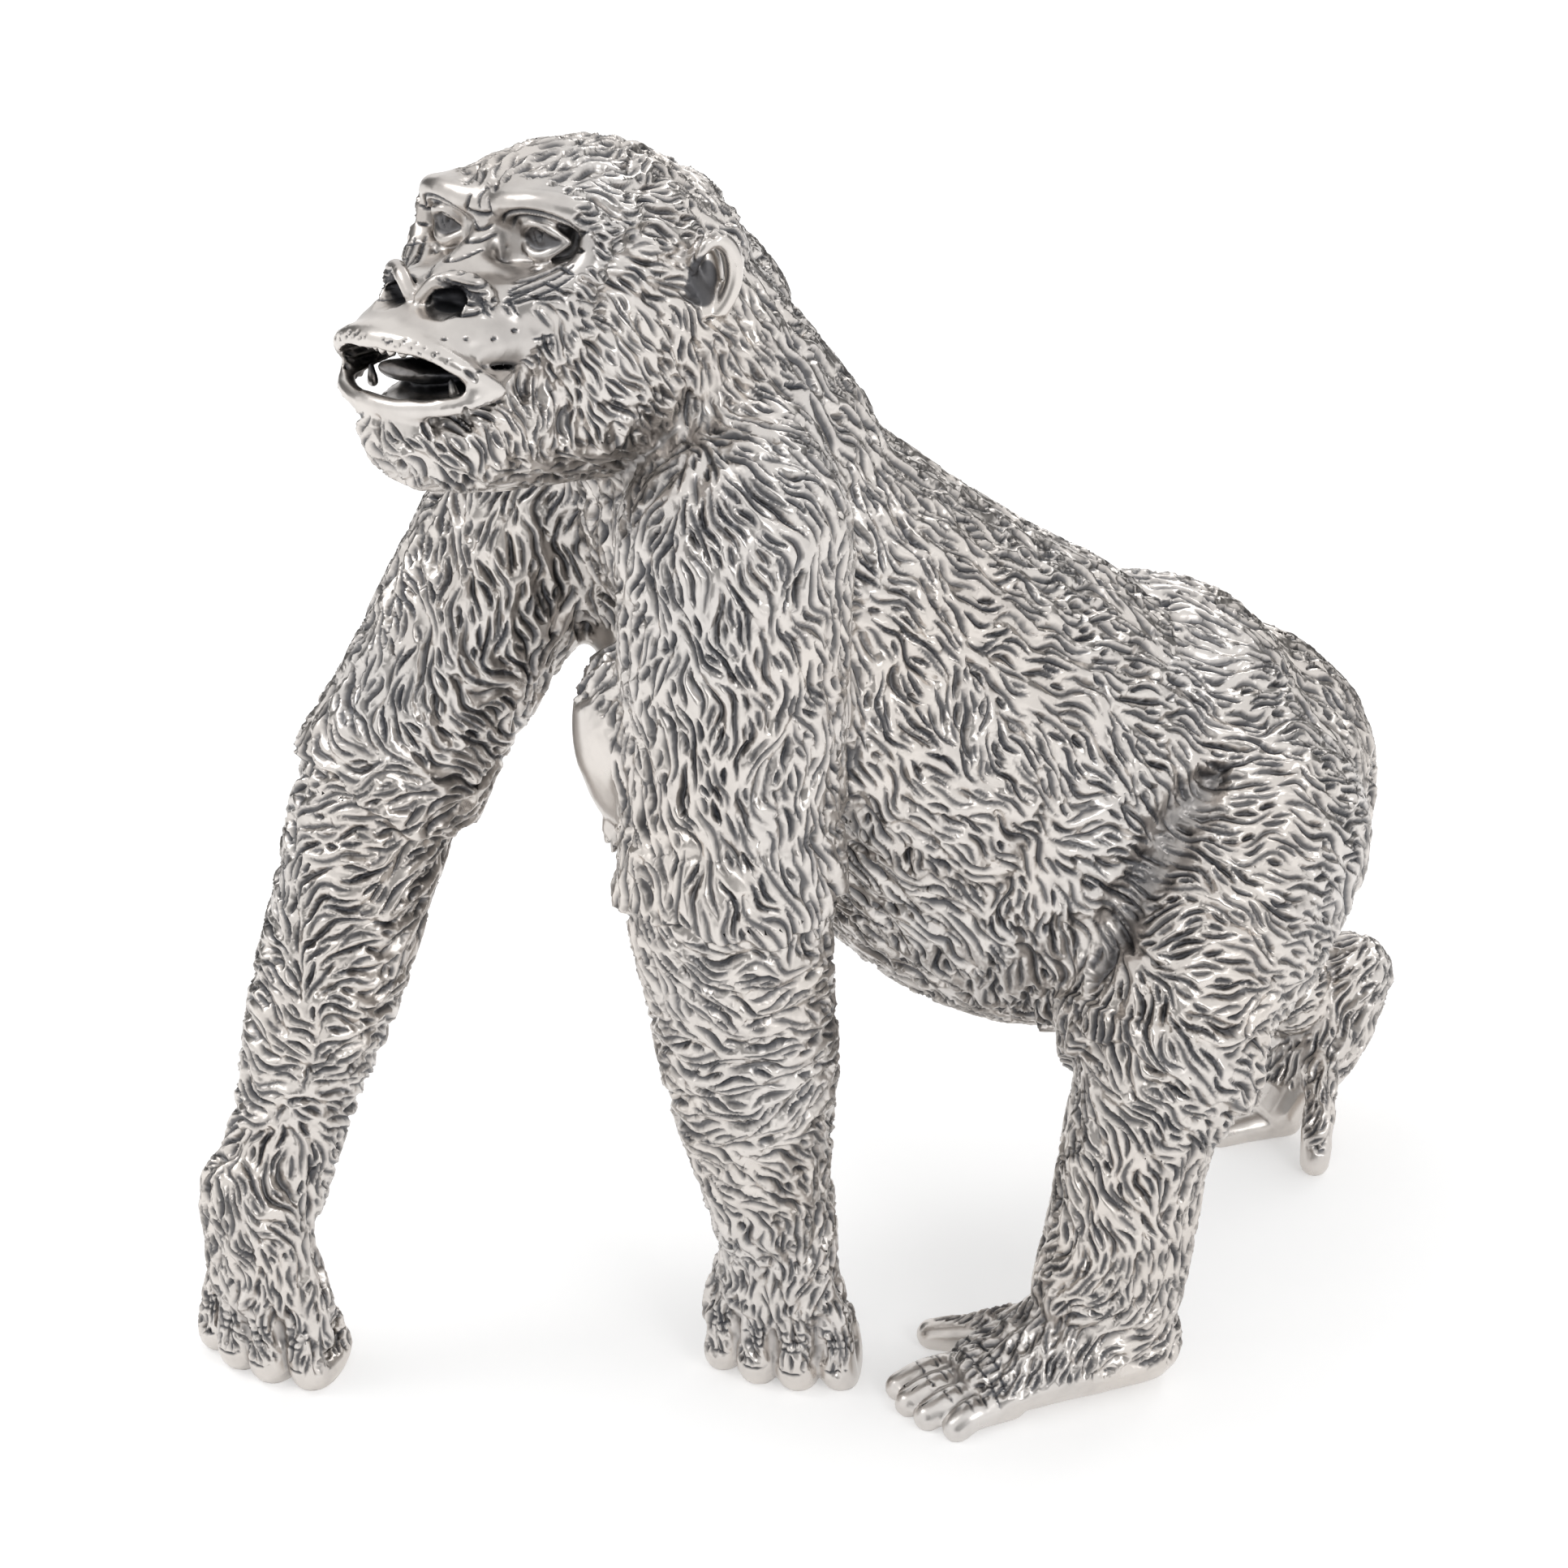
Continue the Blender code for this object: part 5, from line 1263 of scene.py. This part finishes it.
headSkin = carver.skin(carve.headGrain, lambda points: aboveNeck(points) > 0)
points, normals, faces, colours = readSkin(headSkin)
local = (points[faces].mean(axis=1)-np.array(carver.joints["brow"])) @ turning(cast.headTurn, cast.headTilt)
face = local[:, 1] < seams["faceBack"]
for name, chosen in (("face", face), ("crown", ~face)):
    cappedPiece(name, points+shift, normals, faces[chosen], colours, material)
bpy.data.objects.remove(carver.clay)
print("silver laid on")


# the table, the light and the camera
studio = {
    "azimuth": 65.0,
    "elevation": 27.0,
    "distance": 0.3692,
    "lens": 96.9,
    "target": (2.1, 25.7, 56.5),        # in the figure's own millimetres
    "world": 0.8,
    "lamps": (((-0.25, -0.45, 0.62), 0.34, 1.1), ((0.62, 0.1, 0.42), 0.26, 0.7),
              ((-0.3, 0.5, 0.5), 0.26, 0.6)),
    "paper": 0.8,
    "glow": 0.36,
    "cards": (((-0.5, 0.42), 0.5, 0.06), ((0.5, 0.42), 0.5, 0.06), ((0.0, -0.62), 0.55, 0.3)),
}


# cards that only the metal sees: off to the sides of the camera's line and behind it
def addCard(place, width, grey):
    azimuth = math.radians(studio["azimuth"])
    right = Vector((math.cos(azimuth), math.sin(azimuth), 0))
    ahead = Vector((-math.sin(azimuth), math.cos(azimuth), 0))
    middle = right*place[0]+ahead*place[1]
    across = Vector((-middle.y, middle.x, 0)).normalized()*width/2
    high = Vector((0, 0, width))
    corners = [middle-across, middle+across, middle+across+high, middle-across+high]
    mesh = bpy.data.meshes.new("card")
    mesh.from_pydata([tuple(c) for c in corners], [], [(0, 1, 2, 3)])
    card = placed("card", mesh)
    paint, _, _, shader = newPaint("card")
    shader.inputs["Base Color"].default_value = (0, 0, 0, 1)
    shader.inputs["Emission Color"].default_value = (1, 1, 1, 1)
    shader.inputs["Emission Strength"].default_value = grey
    mesh.materials.append(paint)
    card.visible_camera = False
    card.visible_diffuse = False
    card.visible_shadow = False


def addLamp(place, size, power):
    light = bpy.data.lights.new("softbox", "AREA")
    light.size = size
    light.energy = power
    lamp = placed("softbox", light)
    lamp.location = place
    lamp.rotation_mode = "QUATERNION"
    lamp.rotation_quaternion = (Vector(place)-Vector((0, 0, 0.05))).to_track_quat("Z", "Y")


# 1 for rays that see the background: from the camera, off metal and through glass
def seenDirectly(nodes, links):
    path = nodes.new("ShaderNodeLightPath")
    total = path.outputs["Is Camera Ray"]
    for name in ("Is Glossy Ray", "Is Transmission Ray"):
        add = nodes.new("ShaderNodeMath")
        add.operation = "MAXIMUM"
        links.new(total, add.inputs[0])
        links.new(path.outputs[name], add.inputs[1])
        total = add.outputs[0]
    return total


def setStudio():
    azimuth, elevation = math.radians(studio["azimuth"]), math.radians(studio["elevation"])
    back = Vector((math.sin(azimuth)*math.cos(elevation), -math.cos(azimuth)*math.cos(elevation),
                   math.sin(elevation)))
    camera = placed("camera", bpy.data.cameras.new("camera"))
    camera.data.sensor_width = 36
    camera.data.lens = studio["lens"]
    camera.location = (Vector(studio["target"])+Vector(shift))*mm+back*studio["distance"]
    camera.rotation_mode = "QUATERNION"
    camera.rotation_quaternion = back.to_track_quat("Z", "Y")
    bpy.context.scene.camera = camera

    world = bpy.data.worlds.new("studio")
    bpy.context.scene.world = world
    world.use_nodes = True
    nodes, links = world.node_tree.nodes, world.node_tree.links
    strength = nodes.new("ShaderNodeMapRange")
    strength.inputs["To Min"].default_value = studio["world"]
    strength.inputs["To Max"].default_value = 1.0
    links.new(seenDirectly(nodes, links), strength.inputs["Value"])
    nodes["Background"].inputs[0].default_value = (1, 1, 1, 1)
    links.new(strength.outputs[0], nodes["Background"].inputs[1])

    floorMesh = bpy.data.meshes.new("floor")
    reach = 3.0
    corners = ((-reach, -reach, 0), (reach, -reach, 0), (reach, reach, 0), (-reach, reach, 0))
    floorMesh.from_pydata(corners, [], [(0, 1, 2, 3)])
    floor = placed("floor", floorMesh)
    paint, nodes, links, shader = newPaint("paper")
    shader.inputs["Base Color"].default_value = (studio["paper"],)*3+(1,)
    shader.inputs["Roughness"].default_value = 1
    shader.inputs["Specular IOR Level"].default_value = 0
    shader.inputs["Emission Color"].default_value = (1, 1, 1, 1)
    glow = nodes.new("ShaderNodeMath")
    glow.operation = "MULTIPLY"
    glow.inputs[1].default_value = studio["glow"]
    links.new(seenDirectly(nodes, links), glow.inputs[0])
    links.new(glow.outputs[0], shader.inputs["Emission Strength"])
    floorMesh.materials.append(paint)
    for place, size, power in studio["lamps"]:
        addLamp(place, size, power)
    for place, width, grey in studio["cards"]:
        addCard(place, width, grey)
    bpy.context.scene.view_settings.view_transform = "Standard"


setStudio()
